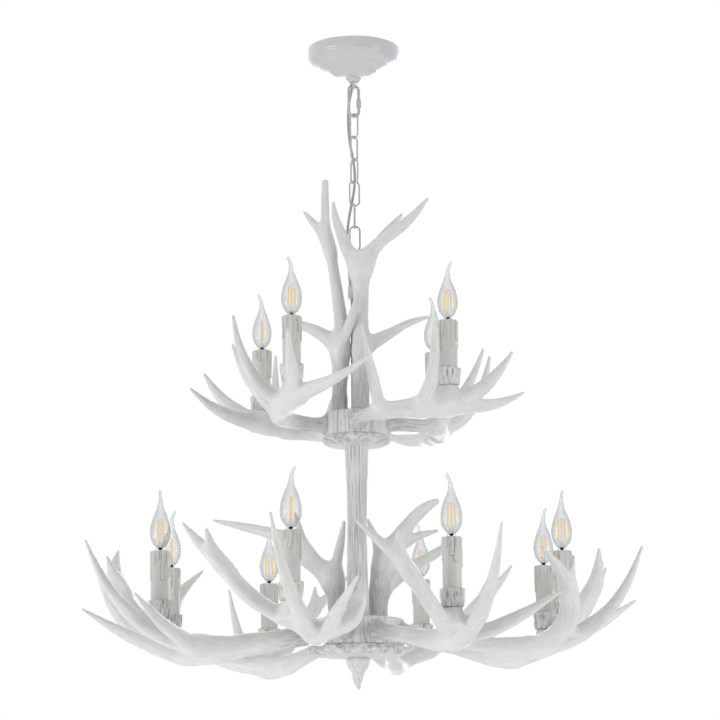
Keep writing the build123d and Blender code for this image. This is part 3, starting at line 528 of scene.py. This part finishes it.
def cast_antler(name, limbs, place, posts, material):
    """One antler: tubes joined by a voxel remesh, then every point is drawn onto the webbed
    surface, with slow swells along the tines and lumps at the root. A post is its foot, its
    top, the radius of each, its edge and its web."""
    shape = Antler(limbs, place)
    tubes = []
    for k in range(shape.count):
        mask = shape.limb == k
        tubes.append(carried(shape.middle[mask], shape.radius[mask] + 0.6, 16))
    for foot, top, r0, r1, *_ in posts:
        tubes.append(carried(np.linspace(foot, top, 5), np.linspace(r0, r1, 5), 20))
    piece = surface(name, *together(tubes), material)
    remesh = piece.modifiers.new("join", "REMESH")
    remesh.mode = "VOXEL"
    remesh.voxel_size = SPACING * MM
    bpy.context.view_layer.update()
    evaluated = piece.evaluated_get(bpy.context.evaluated_depsgraph_get())
    joined = bpy.data.meshes.new_from_object(evaluated)
    piece.modifiers.clear()
    piece.data = joined
    where = np.empty(len(joined.vertices) * 3, np.float32)
    joined.vertices.foreach_get("co", where)
    where = where.reshape(-1, 3).astype(float) / MM
    webs = [(post(*sizes), web) for *sizes, web in posts]
    grain = np.empty_like(where)
    edge = np.empty(len(where))
    rough = np.empty(len(where))
    batch, probe = 6000, 0.4
    for low in range(0, len(where), batch):
        part = where[low : low + batch]
        for _ in range(4):
            here, _, _ = shape.outside(part, webs)
            ahead_of = [shape.outside(part + shift, webs)[0] for shift in np.eye(3) * probe]
            slope = np.stack([far - here for far in ahead_of], 1) / probe
            size = np.linalg.norm(slope, axis=1)
            part = part - slope * (np.clip(here, -3, 3) / np.maximum(size, 0.35) ** 2)[:, None]
        here, by_limb, nearest = shape.outside(part, webs)
        ordered = np.sort(by_limb, 1)
        gap = part - shape.middle[nearest]
        ahead, across = shape.ahead[nearest], shape.across[nearest]
        local = np.stack(
            [shape.start[nearest] + (gap * ahead).sum(1), (gap * across).sum(1),
             (gap * np.cross(ahead, across)).sum(1)], 1)
        turn = np.arctan2(local[:, 2], local[:, 1])
        if shape.count > 1:
            clear = np.clip((ordered[:, 1] - ordered[:, 0]) / 8, 0, 1)
        else:
            clear = np.ones(len(part))
        # lumps near the root, drawn out along the beam: under 2 mm high, gone by 110 mm
        beam = by_limb[:, 0] <= ordered[:, 0] + 2
        near = np.clip(1 - (local[:, 0] - 40) / 70, 0, 1) * beam
        pearl = value_noise(local[:, 0] / 24, turn * 22 / math.pi / 2, seed=5)
        pearl = pearl + 0.7 * value_noise(local[:, 0] / 9, turn * 40 / math.pi / 2, seed=6)
        # slow swells: three waves round and along the tine, under 0.9 mm high
        swell = (
            0.35 * np.sin(local[:, 0] / 17 + 2 * turn)
            + 0.3 * np.sin(local[:, 0] / 31 - 3 * turn + 1)
            + 0.22 * np.sin(local[:, 0] / 11 + 5 * turn + 2)
        )
        outward = slope / np.maximum(np.linalg.norm(slope, axis=1), 1e-6)[:, None]
        thick = np.clip(shape.radius[nearest] / 12, 0.15, 1)
        lift = swell * clear * thick + pearl * 1.1 * near
        where[low : low + batch] = part + outward * lift[:, None]
        rough[low : low + batch] = near
        grain[low : low + batch] = local
        edge[low : low + batch] = clear
    # each point moves halfway to the mean of its neighbours, three times, so that thin tines
    # have no steps
    ends = np.empty(len(joined.edges) * 2, np.int64)
    joined.edges.foreach_get("vertices", ends)
    ends = ends.reshape(-1, 2)
    one, other = np.concatenate([ends, ends[:, ::-1]]).T
    neighbours = np.maximum(np.bincount(one, minlength=len(where)), 1)[:, None]
    for _ in range(3):
        mean = np.stack([np.bincount(one, where[other, k], len(where)) for k in range(3)], 1)
        where = (where + mean / neighbours) / 2
    joined.vertices.foreach_set("co", (where * MM).astype(np.float32).ravel())
    joined.polygons.foreach_set("use_smooth", [True] * len(joined.polygons))
    store(joined, "along_tine", grain)
    store(joined, "one_tine", edge)
    store(joined, "near_burr", rough)
    joined.update()
    return piece


# The paint takes its grain along each tine, and painted shade darkens the pits in the lumps at the
# root.
resin = new_material("matt_white_painted_cast_resin")
tine_line = add_node(resin, "ShaderNodeAttribute", {"attribute_name": "along_tine"})
tine_line = tine_line.outputs["Vector"]
one_tine = add_node(resin, "ShaderNodeAttribute", {"attribute_name": "one_tine"}).outputs["Fac"]
at_root = add_node(resin, "ShaderNodeAttribute", {"attribute_name": "near_burr"}).outputs["Fac"]
fibre = noise(resin, 1.0, 4.0, 0.6, tine_line, (0.035, 0.55, 0.55))
fibre_height = add_node(resin, "ShaderNodeMath", {"operation": "MULTIPLY"}, _0=fibre, _1=one_tine)
pits = noise(resin, 1.0, 5.0, 0.7, tine_line, (0.045, 0.5, 0.5))
root_bump = bump(resin, pits, at_root, 0.0026)
fibre_bump = bump(resin, fibre_height.outputs["Value"], 0.55, 0.0012, Normal=root_bump)
spray_bump = bump(resin, noise(resin, 520.0, 3.0), 0.22, 0.0003, Normal=fibre_bump)
# Painted shade: near the root, the colour darkens where the pits are low.
root_pit_shade = add_node(
    resin, "ShaderNodeMix", {"data_type": "RGBA"}, _0=at_root,
    _6=ramp(resin, noise(resin, 14.0, 3.0), "#E9E9E9", "#F0F0EF", 0.35, 0.65),
    _7=ramp(resin, pits, "#C0BFBC", "#EAEAEA", 0.36, 0.56))
grain_mix = add_node(
    resin, "ShaderNodeMix", {"data_type": "RGBA", "blend_type": "MULTIPLY"}, _0=one_tine,
    _6=root_pit_shade.outputs[2], _7=ramp(resin, fibre, "#EDEDED", "#FFFFFF", 0.34, 0.58))
shade(resin, Base_Color=grain_mix.outputs[2], Roughness=0.36, Normal=spray_bump)


def side_antler(name, limbs, light, lean, hub_r, root_z, seat, root_turn, collar):
    """A side antler, leaned about its root and swung round to its light, with a tapered pad
    under its cup and a collar at the hub."""
    swing, level = turn_matrix(0, 0, light), turn_matrix(*lean)
    root = np.array([hub_r, 0, 0.0])
    seat = swing @ [seat[0], 0, 0] + [0, 0, seat[1]]
    out = turn_matrix(0, 0, light + root_turn) @ [1.0, 0, 0]
    lift = np.array([0, 0, root_z])
    posts = [
        (seat + [0, 0, -30], seat, 20.5, 15.0, 1.2, SEAT_WEB),
        (out * (hub_r - 3) + lift, out * (hub_r + 4) + lift, *collar, 1.8, ROOT_WEB),
    ]

    def place(points):
        return ((points - root) @ level.T + root) @ swing.T + lift

    return cast_antler(name, limbs, place, posts, resin)


for number, (light, drop, lean) in enumerate(zip(LOWER_LIGHTS, LOWER_DROPS, LOWER_LEANS)):
    limbs = {**LOWER_LIMBS, **LOWER_FRONT} if light == PALM_LIGHT else LOWER_LIMBS
    antler = side_antler(f"lower_antler_{number + 1}_cast", limbs, light, lean, 75, -1003.5,
                         (LOWER_RING_R, LOWER_SEAT_Z - drop), 0, (17.5, 16.5))
    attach(antler, "light")
    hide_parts(f"lower_antler_{number + 1}")

for number, (light, lean) in enumerate(zip(UPPER_LIGHTS, UPPER_LEANS)):
    antler = side_antler(f"upper_antler_{number + 1}_cast", UPPER_LIMBS, light, lean, 52.5, -656.0,
                         (UPPER_RING_R, UPPER_SEAT_Z), -47, (16.8, 16.0))
    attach(antler, "light")
    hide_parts(f"upper_antler_{number + 1}")

for name, limbs, height in (
    ("upper_left_upright", UPPER_LEFT, -634), ("upper_right_upright", UPPER_RIGHT, -634),
    ("lower_left_upright", LOWER_LEFT, -979), ("lower_right_upright", LOWER_RIGHT, -979),
):
    foot = np.array([*limbs["beam"][0][0][:2], height - 2.0])
    antler = cast_antler(
        f"{name}_cast", limbs, lambda points, height=height: points + [0, 0, height],
        [(foot, foot + [0, 0, 7], 16.5, 15.8, 1.8, ROOT_WEB)], resin)
    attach(antler, "light")
    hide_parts(name)


# ------------------------------------------------------------------ hubs, plates and trunk
# Cast in the same resin as bark: upright ridges round the hubs and down the trunk, and a lumpy
# crust round the edge of each plate. All of it is turned, with the ridges pressed into the wall.
def along(corners, step):
    """Points at about this spacing along straight runs between corners."""
    out = []
    for a, b in zip(corners, corners[1:]):
        a, b = np.array(a, float), np.array(b, float)
        n = max(1, int(np.linalg.norm(b - a) / step))
        out += [a + (b - a) * k / n for k in range(n)]
    return out + [np.array(corners[-1], float)]


def bark(r, z, angle, depth, ridges, grain, seed):
    """Upright ridges that wander a little with height: noise stretched along the height, with
    its peaks folded sharp."""
    wander = value_noise(angle * 2.0, z / 40, seed=seed + 1) * 0.35
    turn = (angle / (2 * math.pi) + wander * 0.02) * ridges
    wrap = np.mod(turn, ridges)
    seam = np.clip((ridges - wrap) / 1.5, 0, 1)
    main = value_noise(wrap, z / grain, seed=seed) * seam
    main = main + value_noise(wrap - ridges, z / grain, seed=seed) * (1 - seam)
    fine = value_noise(wrap * 2.3, z / grain * 2.1, seed=seed + 2)
    return depth * (0.5 * (1 - 2 * np.abs(main)) + 0.6 * fine)


def bark_paint(name, grain, stretch, low):
    """Painted resin with painted shade in the grooves and low specks, drawn out upwards by the
    stretch.
    """
    paint = new_material(name)
    speck = noise(paint, grain, 5.0, 0.65, drawn=(1.0, 1.0, stretch))
    height = add_node(paint, "ShaderNodeAttribute", {"attribute_name": "groove"})
    total = add_node(paint, "ShaderNodeMath", {"operation": "MULTIPLY_ADD"}, _0=speck, _1=2.4,
                     _2=height.outputs["Fac"])
    depth = add_node(paint, "ShaderNodeMapRange", _0=total.outputs["Value"], _1=1.2, _2=2.0)
    shade(paint, Base_Color=ramp(paint, depth.outputs["Result"], low, "#EAEAEA"), Roughness=0.5,
          Normal=bump(paint, speck, 0.85, 0.0016))
    return paint


# The darkest colour of each is painted shade, for the bottoms of the grooves and specks.
bark_resin = bark_paint("matt_white_painted_bark_resin", 520.0, 0.05, "#C3C3C3")
crust_resin = bark_paint("matt_white_painted_crusted_resin", 560.0, 1.0, "#ABAAA7")


def mark_relief_shade(piece, height, low, high):
    """Stores each point's height in the relief, 0 in a groove to 1 on a ridge, for painted shade.
    """
    store(piece.data, "groove", np.clip((height - low) / (high - low), 0, 1).ravel())


def bark_block(name, node, corners, depth, ridges, grain, seed, from_r, paint, step=1.3,
               sides=420, crust=0.0):
    """A turned block whose outer wall has bark, and whose rim may have a lumpy crust."""
    profile = np.array(along(round_corners(corners, 2.0), step))
    relief = []

    def pressed(r, z, angle):
        share = np.clip((r - from_r) / 4, 0, 1)
        lift = bark(r, z, angle, depth, ridges, grain, seed)
        if crust:
            lumps = value_noise(angle * 30 / math.pi, z / 4.5, seed=seed + 5)
            lumps = lumps + 0.8 * value_noise(angle * 72 / math.pi, z / 2.6, seed=seed + 6)
            lift = lift + crust * lumps
        lift = lift - depth * 0.6 - crust * 0.9
        relief.append(lift * share - (1 - share) * (depth * 0.3 + crust * 0.6))
        return r + share * lift, z

    piece = surface(name, *turned(profile, sides, pressed), paint)
    mark_relief_shade(piece, relief[0], -depth * 1.3 - crust * 2.0, depth * 0.1 + crust * 0.1)
    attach(piece, "light")
    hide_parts(node)
    return piece


bark_block("upper_hub_bark", "upper_hub",
           [(8.3, -676), (8.3, -636), (50, -636), (53.4, -638), (53.4, -676), (8.3, -676)],
           1.3, 104, 60, 11, 40, bark_resin, sides=680)
bark_block("upper_plate_crust", "upper_plate",
           [(8.3, -693), (8.3, -676), (54, -676), (57.5, -679), (57, -686), (50, -690),
            (22, -693), (8.3, -693)],
           0.4, 60, 6, 21, 36, crust_resin, sides=520, crust=0.95)
bark_block("lower_hub_bark", "lower_hub",
           [(8.3, -1026), (8.3, -981), (72.5, -981), (76.3, -983), (76.3, -1026), (8.3, -1026)],
           1.6, 130, 60, 31, 60, bark_resin, sides=820)
bark_block("lower_plate_crust", "lower_plate",
           [(8.3, -1044), (8.3, -1026), (78, -1026), (82, -1029), (81.5, -1036), (74, -1040),
            (20, -1044), (8.3, -1044)],
           0.4, 84, 6, 41, 60, crust_resin, sides=760, crust=1.05)

# The trunk is narrowest at its waist, and widens less below it than above.
WAIST_R, WAIST_Z, HALF_TRUNK = 16.4, -835.5, 145.5
trunk_wall = [(18.4, -981)]
trunk_wall += [
    (WAIST_R + (3.0 if z < WAIST_Z else 3.5) * ((z - WAIST_Z) / HALF_TRUNK) ** 2, z)
    for z in np.arange(-978, -691, 3)]
bark_block("trunk_bark", "trunk",
           [(8.3, -690), (8.3, -981)] + trunk_wall + [(19.8, -690), (8.3, -690)],
           1.9, 33, 70, 51, 9, bark_resin, step=1.6, sides=320)

# ------------------------------------------------------------------ finial
# A cast bud under the plate, wrapped in bark and drawn out to a curled tip.
finial_line = smooth_line(
    [(0, 0, -1043, 15.8), (0, 0, -1046.5, 19.2), (0, 0, -1054, 19.4), (0, 0, -1061, 16),
     (0, -0.3, -1068, 11), (-0.5, -0.5, -1075, 8.8), (-1, -0.8, -1083, 7.2),
     (-0.5, -1.2, -1089, 5), (3.2, -1.8, -1094, 2.7)], 60)
finial_points, finial_faces = carried(finial_line[:, :3], finial_line[:, 3], 72)
finial_z = finial_points[:, 2]
finial_angle = np.arctan2(finial_points[:, 1], finial_points[:, 0]) + finial_z / 60
finial_share = np.clip((finial_z + 1096) / 20, 0, 1)
finial_lift = bark(0, finial_z, finial_angle, 1.5, 24, 20, 61) * finial_share - 0.8
finial_out = finial_points.copy()
finial_out[:, 2] = 0
finial_out /= np.maximum(np.linalg.norm(finial_out, axis=1), 3)[:, None]
finial_points = finial_points + finial_out * finial_lift[:, None]
finial = surface("finial_bud", finial_points, finial_faces, bark_resin)
# The finial's grooves get the bark paint's painted shade.
mark_relief_shade(finial, finial_lift, -2.6, 0.2)
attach(finial, "light")
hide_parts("finial")

# ------------------------------------------------------------------ candle lights
# Each light stands on its antler: a cast bark cup, a sleeve with wax drips, a lamp holder inside
# it and a clear bent-tip bulb with two glowing filaments on a bright screw cap.
light_seats = [(LOWER_RING_R, a, LOWER_SEAT_Z - drop) for a, drop in zip(LOWER_LIGHTS, LOWER_DROPS)]
light_seats += [(UPPER_RING_R, a, UPPER_SEAT_Z) for a in UPPER_LIGHTS]
light_places = [(r * math.cos(math.radians(a)), r * math.sin(math.radians(a)), z)
                for r, a, z in light_seats]
# degrees about each bulb's own axis: where its tail points, and how its filaments stand
tail_turns = [180, 60, 20, 180, 130, 20, 110, 0, 0, 180, 180, 180]
pair_turns = [-90, -75, -55, -45, -90, 0, -45, -2, -75, -5, -5, -75]


def on_every_seat(name, make, material):
    """One piece of mesh with a copy of the shape on every antler's seat."""
    shapes = [make(number) for number in range(len(light_places))]
    placed = [(points + np.array(place), faces)
              for (points, faces), place in zip(shapes, light_places)]
    return surface(name, *together(placed), material)


# The cup: upright bark ridges on a slight flare, rough at the rim, painted shade in the grooves.
cup_wall = round_corners(
    [(5.3, 0), (17.4, 0), (19.6, 23), (19.8, 27.5), (16.2, 27.5), (15.3, 25.6), (15.3, 4),
     (5.3, 4), (5.3, 0)], 1.0)
cup_profile = np.array(along(cup_wall, 0.9))
cup_relief = []


def make_cup(number):
    """The cup's wall, with ridges pressed outwards and a ragged rim."""

    def pressed(r, z, angle):
        share = np.clip((r - 15.8) / 1.2, 0, 1)
        ridge = bark(r, z, angle + number, 2.0, 30, 20, 70 + number) - 1.0
        ragged = value_noise(angle * 30 / math.pi, z * 0.1, seed=90 + number)
        rim = np.clip((z - 21) / 5, 0, 1) * 1.8 * ragged
        cup_relief.append(np.where(share > 0.02, ridge, 0.5))
        return r + share * np.clip(ridge, -2.4, 0.9), z + rim * share

    return turned(cup_profile, 160, pressed)


# Its darkest colour is the painted shade at the bottom of the cup's grooves.
cup_bark = bark_paint("matt_white_painted_cup_bark", 520.0, 0.16, "#9C9B98")
cups = on_every_seat("candle_cups_bark", make_cup, cup_bark)
mark_relief_shade(cups, np.concatenate([r.ravel() for r in cup_relief]), -2.6, 0.0)
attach(cups, "light")
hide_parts("candle_cups")

# The sleeve: a plain tube with a melted lip and runs of wax that end in drops.
wax = new_material("satin_white_moulded_wax_look")
mottle = noise(wax, 260.0, 4.0, drawn=(1.0, 1.0, 0.16))
# Painted shade: the wax is darkened along the edge of each run.
run_edge_shade = add_node(wax, "ShaderNodeAttribute", {"attribute_name": "groove"}).outputs["Fac"]
wax_mix = add_node(
    wax, "ShaderNodeMix", {"data_type": "RGBA", "blend_type": "MULTIPLY"}, _0=1.0,
    _6=ramp(wax, mottle, "#CBCAC5", "#E2E1DD"), _7=ramp(wax, run_edge_shade, "#94928C", "#FFFFFF"))
shade(wax, Base_Color=wax_mix.outputs[2], Roughness=0.42, Subsurface_Weight=0.08,
      Subsurface_Scale=0.004, Normal=bump(wax, mottle, 0.5, 0.0009))

SLEEVE_TOP = 108
sleeve_wall = round_corners(
    [(13.1, 4), (14.8, 4), (14.8, 104), (14.2, 107.6), (12.6, SLEEVE_TOP), (11.6, 107),
     (13.1, 100), (13.1, 4)], 0.8)
sleeve_profile = np.array(along(sleeve_wall, 1.0))
sleeve_run_shade = []


def make_sleeve(number):
    """The tube's wall, raised where wax has run: each run is a ridge down from the lip whose end
    swells into a drop, and the runs overlap near the lip."""
    rng = np.random.default_rng(200 + number)
    runs = [
        (a + rng.uniform(-0.16, 0.16), rng.uniform(34, 52) if k % 3 == 0 else rng.uniform(12, 34),
         rng.uniform(0.1, 0.17), rng.uniform(1.5, 2.5))
        for k, a in enumerate(np.linspace(0, 2 * math.pi, 11, endpoint=False))
    ]

    def raised(r, z, angle):
        outer = np.clip((r - 13.4) / 0.9, 0, 1)
        lift = np.zeros_like(z + angle)
        down = SLEEVE_TOP - z
        for centre, long, wide, high in runs:
            bend = centre + 0.05 * np.sin(down / 7 + number)
            aside = (angle - bend + math.pi) % (2 * math.pi) - math.pi
            body = np.exp(-((np.abs(aside) / wide) ** 2.6)) * high
            body = body * (0.75 + 0.25 * np.exp(-down / 30))
            body = body / (1 + np.exp((down - long) / 0.7))
            drop = np.exp(-((aside / (wide * 1.1)) ** 2) - ((down - long + 1.5) / 2.6) ** 2)
            lift = np.maximum(lift, np.maximum(body, drop * high * 1.15))
        lip = np.exp(-((down / 4.0) ** 2)) * 0.9 * (1 + 0.5 * np.sin(5 * angle + number))
        sag = 0.12 * np.sin(z / 9 + 3 * angle + number)
        full = np.maximum(lift, lip)
        melted = value_noise(angle * 20 / math.pi, z * 0.1, seed=40 + number) * 1.1
        slump = np.where(down < 6, melted, 0)
        # painted shade along the edge of each run, on the outer wall only
        edge = np.exp(-(((lift - 0.36) / 0.2) ** 2)) * (down > 1.5)
        edge = edge * (0.55 + 0.45 * np.sin(3 * angle + 2 * number))
        sleeve_run_shade.append(np.where(outer > 0.05, 1 - edge, 1.0))
        return r + outer * (full + sag), z + slump * outer

    return turned(sleeve_profile, 120, raised)


sleeves = on_every_seat("candle_sleeves_wax", make_sleeve, wax)
mark_relief_shade(sleeves, np.concatenate([r.ravel() for r in sleeve_run_shade]), 0.0, 1.0)
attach(sleeves, "light")
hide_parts("candle_sleeves")

phenolic = new_material("white_moulded_phenolic")
shade(phenolic, Base_Color=linear("#DEDEDC"), Roughness=0.45,
      Normal=bump(phenolic, noise(phenolic, 700.0), 0.1, 0.0002))
dress(["lamp_holders"], phenolic)

# The bulb: thin clear glass drawn to a bent tail, on a bright nickel screw cap. The glass is
# painted grey towards its edges and the nickel dark where seen straight on: painted reflections.
glass = new_material("thin_clear_blown_glass")
glass_rim = add_node(glass, "ShaderNodeLayerWeight", Blend=0.5)
# Painted reflection: the glass's grey shows more towards its edges.
glass_painted_edge = add_node(glass, "ShaderNodeMapRange", _0=glass_rim.outputs["Facing"], _1=0.05,
                      _2=0.62, _3=0.1, _4=0.3)
shade(glass, Base_Color=linear("#B2B9BA"), Roughness=0.03, IOR=1.5, Coat_Weight=1.0,
      Coat_Roughness=0.02, Alpha=glass_painted_edge.outputs["Result"],
      Normal=bump(glass, noise(glass, 60.0), 0.15, 0.0006))
nickel = new_material("bright_nickel_plate")
# Painted reflection: the nickel is dark where it is seen straight on.
nickel_painted_reflection = add_node(nickel, "ShaderNodeLayerWeight", Blend=0.5).outputs["Facing"]
shade(nickel, Base_Color=ramp(nickel, nickel_painted_reflection, "#1D1B1A", "#DAD8D2", 0.06, 0.2),
      Metallic=1.0, Roughness=0.14, Normal=bump(nickel, noise(nickel, 900.0), 0.05, 0.0001))
glow = new_material("warm_glowing_phosphor_on_filament")
shade(glow, Base_Color=linear("#CFA050"), Roughness=0.6, Emission_Strength=0.68,
      Emission_Color=ramp(glow, noise(glow, 500.0), "#EDBE62", "#F8D184"))
insulator = new_material("black_glass_insulator")
shade(insulator, Base_Color=ramp(insulator, noise(insulator, 400.0), "#171514", "#292624"),
      Roughness=0.3)

CAP_PITCH = 2.8
bulb_line = smooth_line(
    [(0, 0, 113.2, 7.4), (0, 0, 115.5, 9.8), (0, 0, 121, 14.0), (0, 0, 128, 17.0),
     (0, 0, 138, 18.1), (0, 0, 147, 17.4), (0, 0, 157.5, 14.8), (0, 0, 166.5, 11.2),
     (0, 0, 175, 7.4), (0.3, 0, 183, 4.9), (1.2, 0, 192, 3.5), (3.4, 0, 200, 2.8),
     (6.4, 0, 206, 2.2), (7.3, 0, 207.2, 1.2)], 84)
stem_line = smooth_line(
    [(0, 0, 113.5, 5.4), (0, 0, 116, 4.2), (0, 0, 120, 3.0), (0, 0, 126, 2.2),
     (0, 0, 150, 2.0), (0, 0, 160, 1.5)], 30)
cap_wall = [(0, 84.3), (2.5, 84.3), (2.5, 85.5), (6.0, 87.0)]
cap_wall += [(6.55 + 0.35 * math.cos(z * 2 * math.pi / CAP_PITCH), z)
             for z in np.arange(88, 106.1, 0.35)]
cap_wall += [(7.1, 107.5), (7.3, 112.4), (7.0, 113.4), (0, 113.4)]
filament_bars = together([
    carried(np.linspace((0.6, 5.8 * side, 127), (0.3, 4.9 * side, 157), 12), 1.35, 12)
    for side in (-1, 1)])
filament_wires = together([
    carried(smooth_line(path, 14), 0.28, 8)
    for side in (-1, 1)
    for path in (
        [(0.2, 1.8 * side, 119), (0.4, 3.6 * side, 122), (0.6, 5.6 * side, 125),
         (0.6, 5.8 * side, 127.5)],
        [(0.3, 4.9 * side, 156.5), (0.2, 3.6 * side, 159.5), (0, 0, 161)],
    )])
bulb_parts = [  # what it is, its shape, its material, and whether it turns with the filaments
    ("glass", carried(bulb_line[:, :3], bulb_line[:, 3], 48), glass, False),
    ("cap", turned(cap_wall, 48), nickel, False),
    ("insulator", turned([(0.5, 84.5), (4.6, 85.0), (6.1, 87.1), (0.5, 87.2)], 32), insulator,
     False),
    ("stem", carried(stem_line[:, :3], stem_line[:, 3], 20), glass, False),
    ("filaments", filament_bars, glow, True),
    ("wires", filament_wires, nickel, True),
]

for number, (place, tail, pair) in enumerate(zip(light_places, tail_turns, pair_turns)):
    pieces = []
    for part, (points, faces), material, with_pair in bulb_parts:
        swing = turn_matrix(0, 0, pair if with_pair else tail).T
        name = f"bulb_{number + 1}_{part}"
        pieces.append(surface(name, points @ swing + np.array(place), faces, material))
    wall = pieces[0].modifiers.new("wall", "SOLIDIFY")
    wall.thickness = 0.7 * MM
    wall.offset = -1
    for piece in pieces:
        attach(piece, f"bulb_{number + 1}")
    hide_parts(f"bulb_{number + 1}")

# ------------------------------------------------------------------ stem and hidden hardware
# Painted and plated steel: the tube down the middle, the crossbar, its nuts and all screws, and
# the rubber grommet that the cord passes through.
zinc = new_material("zinc_plated_steel")
shade(zinc, Base_Color=ramp(zinc, noise(zinc, 340.0, 3.0), "#8F9294", "#B4B6B6"), Metallic=1.0,
      Roughness=0.36)
dress(["crossbar", "canopy_nipple", "nipple_nuts", "candle_nipples", "antler_screws"], zinc)
primer = new_material("grey_primed_steel_tube")
shade(primer, Base_Color=ramp(primer, noise(primer, 400.0, 3.0), "#8E8E8C", "#A3A3A0"),
      Roughness=0.4)
dress(["centre_tube"], primer)
rubber = new_material("pale_grey_rubber")
shade(rubber, Base_Color=linear("#C4C4C2"), Roughness=0.7,
      Normal=bump(rubber, noise(rubber, 800.0), 0.1, 0.0002))
dress(["cord_grommet"], rubber)

# ------------------------------------------------------------------ studio
# A pale floor far below, soft even lamps, and a white backdrop that only the camera, gloss and
# clear glass see.
floor_paint = new_material("pale_studio_floor")
shade(floor_paint, Base_Color=linear("#F4F4F4"), Roughness=0.9, Emission_Color=linear("#FFFFFF"),
      Emission_Strength=0.14)
bpy.ops.mesh.primitive_plane_add(size=14, location=(0, 0, -2.6))
floor = bpy.context.object
floor.name = "studio_floor"
floor.data.materials.append(floor_paint)

world = bpy.data.worlds.new("studio")
bpy.context.scene.world = world
world.use_nodes = True
world.node_tree.nodes.clear()
ray = add_node(world, "ShaderNodeLightPath").outputs
seen = add_node(world, "ShaderNodeMath", {"operation": "MAXIMUM"}, _0=ray["Is Camera Ray"],
                _1=ray["Is Glossy Ray"])
seen = add_node(world, "ShaderNodeMath", {"operation": "MAXIMUM"}, _0=seen.outputs[0],
                _1=ray["Is Transmission Ray"])
soft_sky = add_node(world, "ShaderNodeBackground", Color=linear("#F7F7F7"), Strength=0.43)
white_sky = add_node(world, "ShaderNodeBackground", Color=(1, 1, 1, 1), Strength=1.0)
sky = add_node(world, "ShaderNodeMixShader", _0=seen.outputs[0], _1=soft_sky.outputs[0],
               _2=white_sky.outputs[0])
add_node(world, "ShaderNodeOutputWorld", Surface=sky.outputs[0])

LAMP_TARGET = Vector((0, 0, -0.72))
for name, place, size, power in (
    ("left_softbox", (-2.9, -1.5, -1.4), 1.5, 38),
    ("right_softbox", (2.9, -1.7, -1.2), 1.5, 32),
    ("back_softbox", (0.4, 2.7, -0.4), 2.2, 37),
    ("top_softbox", (-0.3, -0.6, 1.9), 1.6, 14),
):
    lamp = bpy.data.lights.new(name, "AREA")
    lamp.size = size
    lamp.energy = power
    stand = bpy.data.objects.new(name, lamp)
    bpy.context.scene.collection.objects.link(stand)
    stand.location = place
    stand.rotation_euler = (LAMP_TARGET - Vector(place)).to_track_quat("-Z", "Y").to_euler()
bpy.context.scene.view_settings.view_transform = "Standard"
